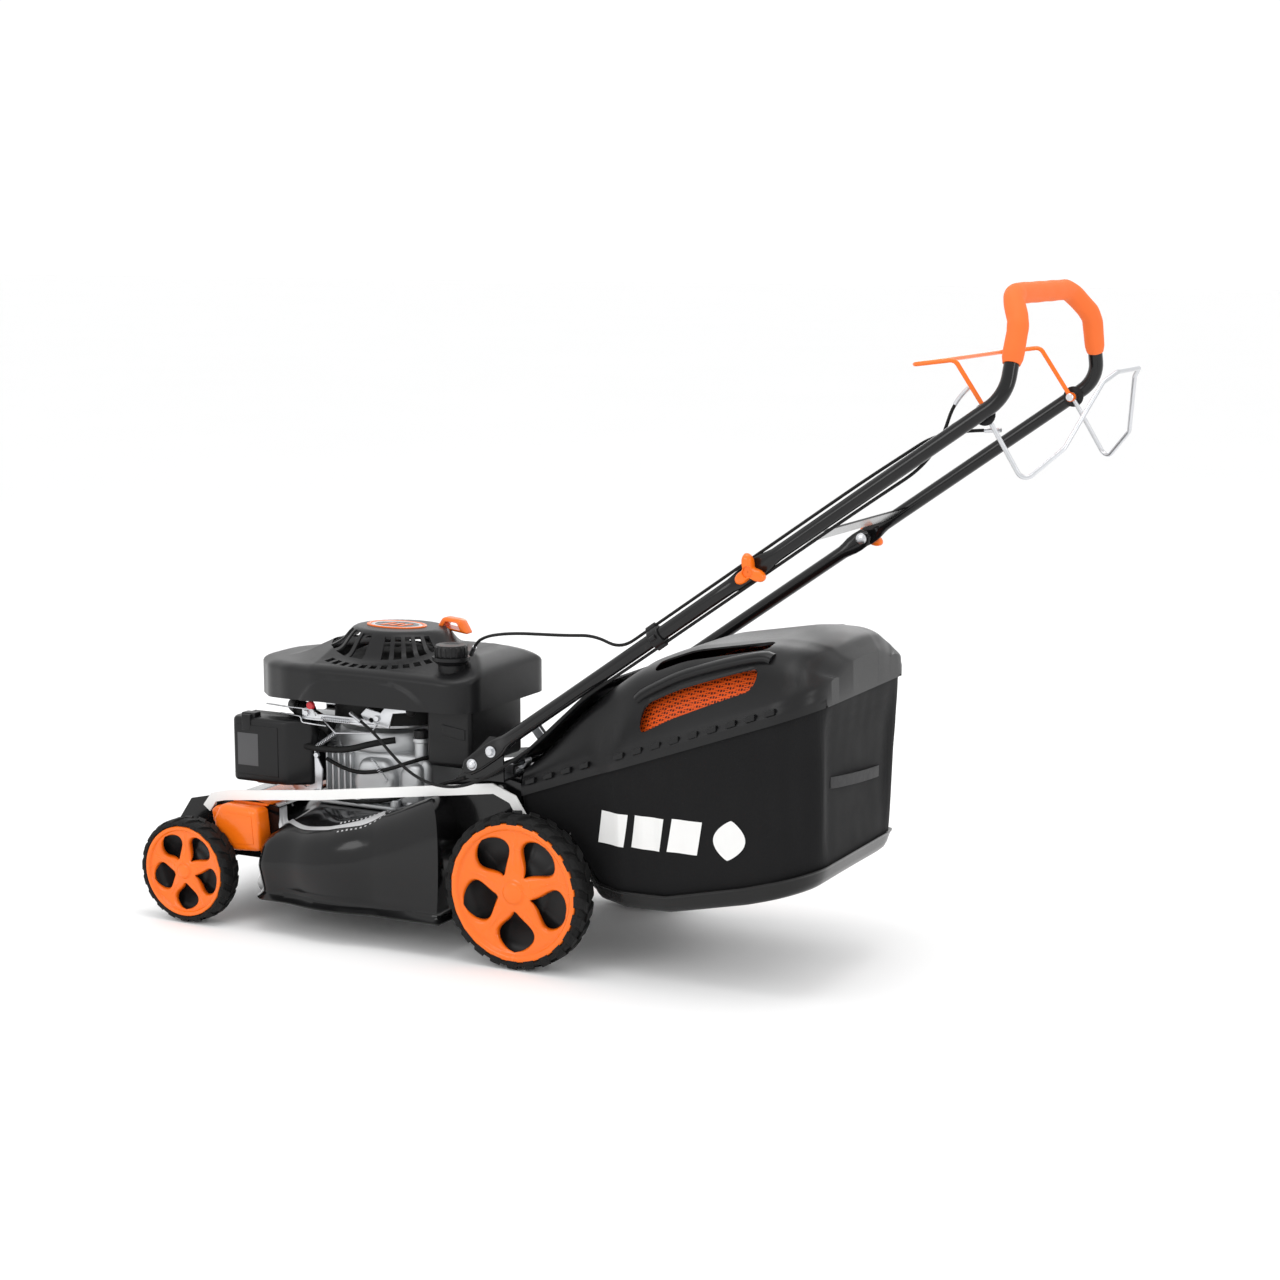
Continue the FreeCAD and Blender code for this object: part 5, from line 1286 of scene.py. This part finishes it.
spot = next(node for node in tree.nodes if node.type == "TEX_COORD")
threads = []
for direction in ("X", "Z"):
    wave = add_node(tree, "TexWave", Scale=150, Distortion=0.4)
    wave.bands_direction = direction
    tree.links.new(spot.outputs["Object"], wave.inputs["Vector"])
    threads.append(wave)
both = add_node(tree, "Math")
both.operation = "MAXIMUM"
tree.links.new(threads[0].outputs["Fac"], both.inputs[0])
tree.links.new(threads[1].outputs["Fac"], both.inputs[1])
thread_bump = add_node(tree, "Bump", Strength=0.35, Distance=0.0006)
tree.links.new(both.outputs["Value"], thread_bump.inputs["Height"])
tree.links.new(shader.inputs["Normal"].links[0].from_socket, thread_bump.inputs["Normal"])
tree.links.new(thread_bump.outputs["Normal"], shader.inputs["Normal"])
bag.data.materials.append(woven)
bag_guide = bag.copy()
bag_guide.data = bag.data.copy()
bpy.context.scene.collection.objects.link(bag_guide)
bag_guide.name = "bag_surface_guide"
settle(shell(bag, 0.0012, offset=0.0))
done(bag, "catcher", "fabric", "catcher_fabric")


def on_bag(obj, lift=0.0016):
    """Presses a flat print sideways onto the bag's left wall."""
    settle(obj)
    wrap = obj.modifiers.new("wrap", "SHRINKWRAP")
    wrap.target = bag_guide
    wrap.wrap_method = "PROJECT"
    wrap.use_project_y = True
    wrap.use_negative_direction = True
    wrap.use_positive_direction = False
    wrap.offset = lift
    return settle(obj)


# White print on the left wall: a plain leaf shape beside three slanted bars.
print_white = finish("print_white", (0.78, 0.78, 0.77), 0.6, grain=700, bump=0.2, vary=0.05)
prints = []
for low, high in ((-116, -168), (-182, -234), (-248, -300)):
    rows = [[at(low + (high - low) * i / 26 - 10 * j / 26, 260, 208 + 54 * j / 26 - (low + 116) * 0.03) for i in range(27)]
            for j in range(27)]
    prints.append(grid_object("print_bar", rows, closed=False))
rows = []
for j in range(41):
    share = j / 40
    wide = 27 * math.sin(math.pi * share) ** 0.8 + 0.3
    rows.append([at(-352 - 8 * share + wide * (i / 12 - 1), 260, 210 + 64 * share) for i in range(25)])
prints.append(grid_object("print_leaf", rows, closed=False))
for piece in prints:
    piece.data.materials.append(print_white)
    on_bag(piece)
done(join("bag_print", prints), "catcher", "fabric")

# Webbing grab strap sewn across the back, standing slightly off the cloth.
strap_rows = []
for i in range(41):
    y, z = 104 - 200 * i / 40, 331 - 19 * i / 40
    wall = min((v.co for v in bag_guide.data.vertices if v.co.x < at(-440, 0, 0).x),
               key=lambda co: (co - Vector((co.x, *at(0, y, z)[1:]))).length)
    stand = 0.0016 + 0.007 * math.sin(math.pi * i / 40) ** 0.6
    strap_rows.append([Vector((wall.x - stand, *at(0, y, z + rise)[1:])) for rise in (-9, -8, -3, 3, 8, 9)])
webbing = grid_object("grab_strap", strap_rows, closed=False)
if webbing.data.polygons[0].normal.x > 0:
    webbing.data.flip_normals()
webbing.data.materials.append(finish("strap_webbing", (0.02, 0.02, 0.021), 0.7, grain=260, bump=0.8, vary=0.3, patch=60))
settle(shell(webbing, 0.0022))
done(crease(webbing), "catcher", "fabric", "catcher_strap")

# ---- Catcher tray ----
# Hard glossy tray under the bag, with a rolled upper edge and a keel line round its bottom.
tray_plan = wrap_path(bag_half, -498, 66, BAG_COLUMNS)
levels = []
for inset, lift in ((60, 3), (22, 0), (12, 0.6), (5, 5), (2.4, 12), (1.4, 24), (0.6, 27), (-0.8, 28), (-0.8, 30), (1.6, 31)):
    ring = []
    for p in tray_plan:
        inward = (Vector((-180, 0, 0)) - p).normalized()
        spot = p + inward * (inset + 8 * (1 - min(lift / 28, 1)))
        ring.append(at(spot.x, spot.y, bag_bottom(spot.x) + lift))
    levels.append(ring)
tray_rows = [[at(-200, 0, bag_bottom(-200) + 3)] * BAG_COLUMNS] + levels
tray = grid_object("tray_shell", tray_rows, closed=False)
weld(tray, 0.00001, outward=False)
if tray.data.polygons[BAG_COLUMNS * 5].normal.y < 0:
    tray.data.flip_normals()
tray.data.materials.append(finish("tray_black", (0.006, 0.006, 0.006), 0.25, grain=300, bump=0.05, vary=0.2, shine=0.3))
settle(shell(tray, 0.0028))
done(crease(tray, 50), "catcher", "black_plastic", "catcher_tray")
bpy.data.objects.remove(bag_guide)
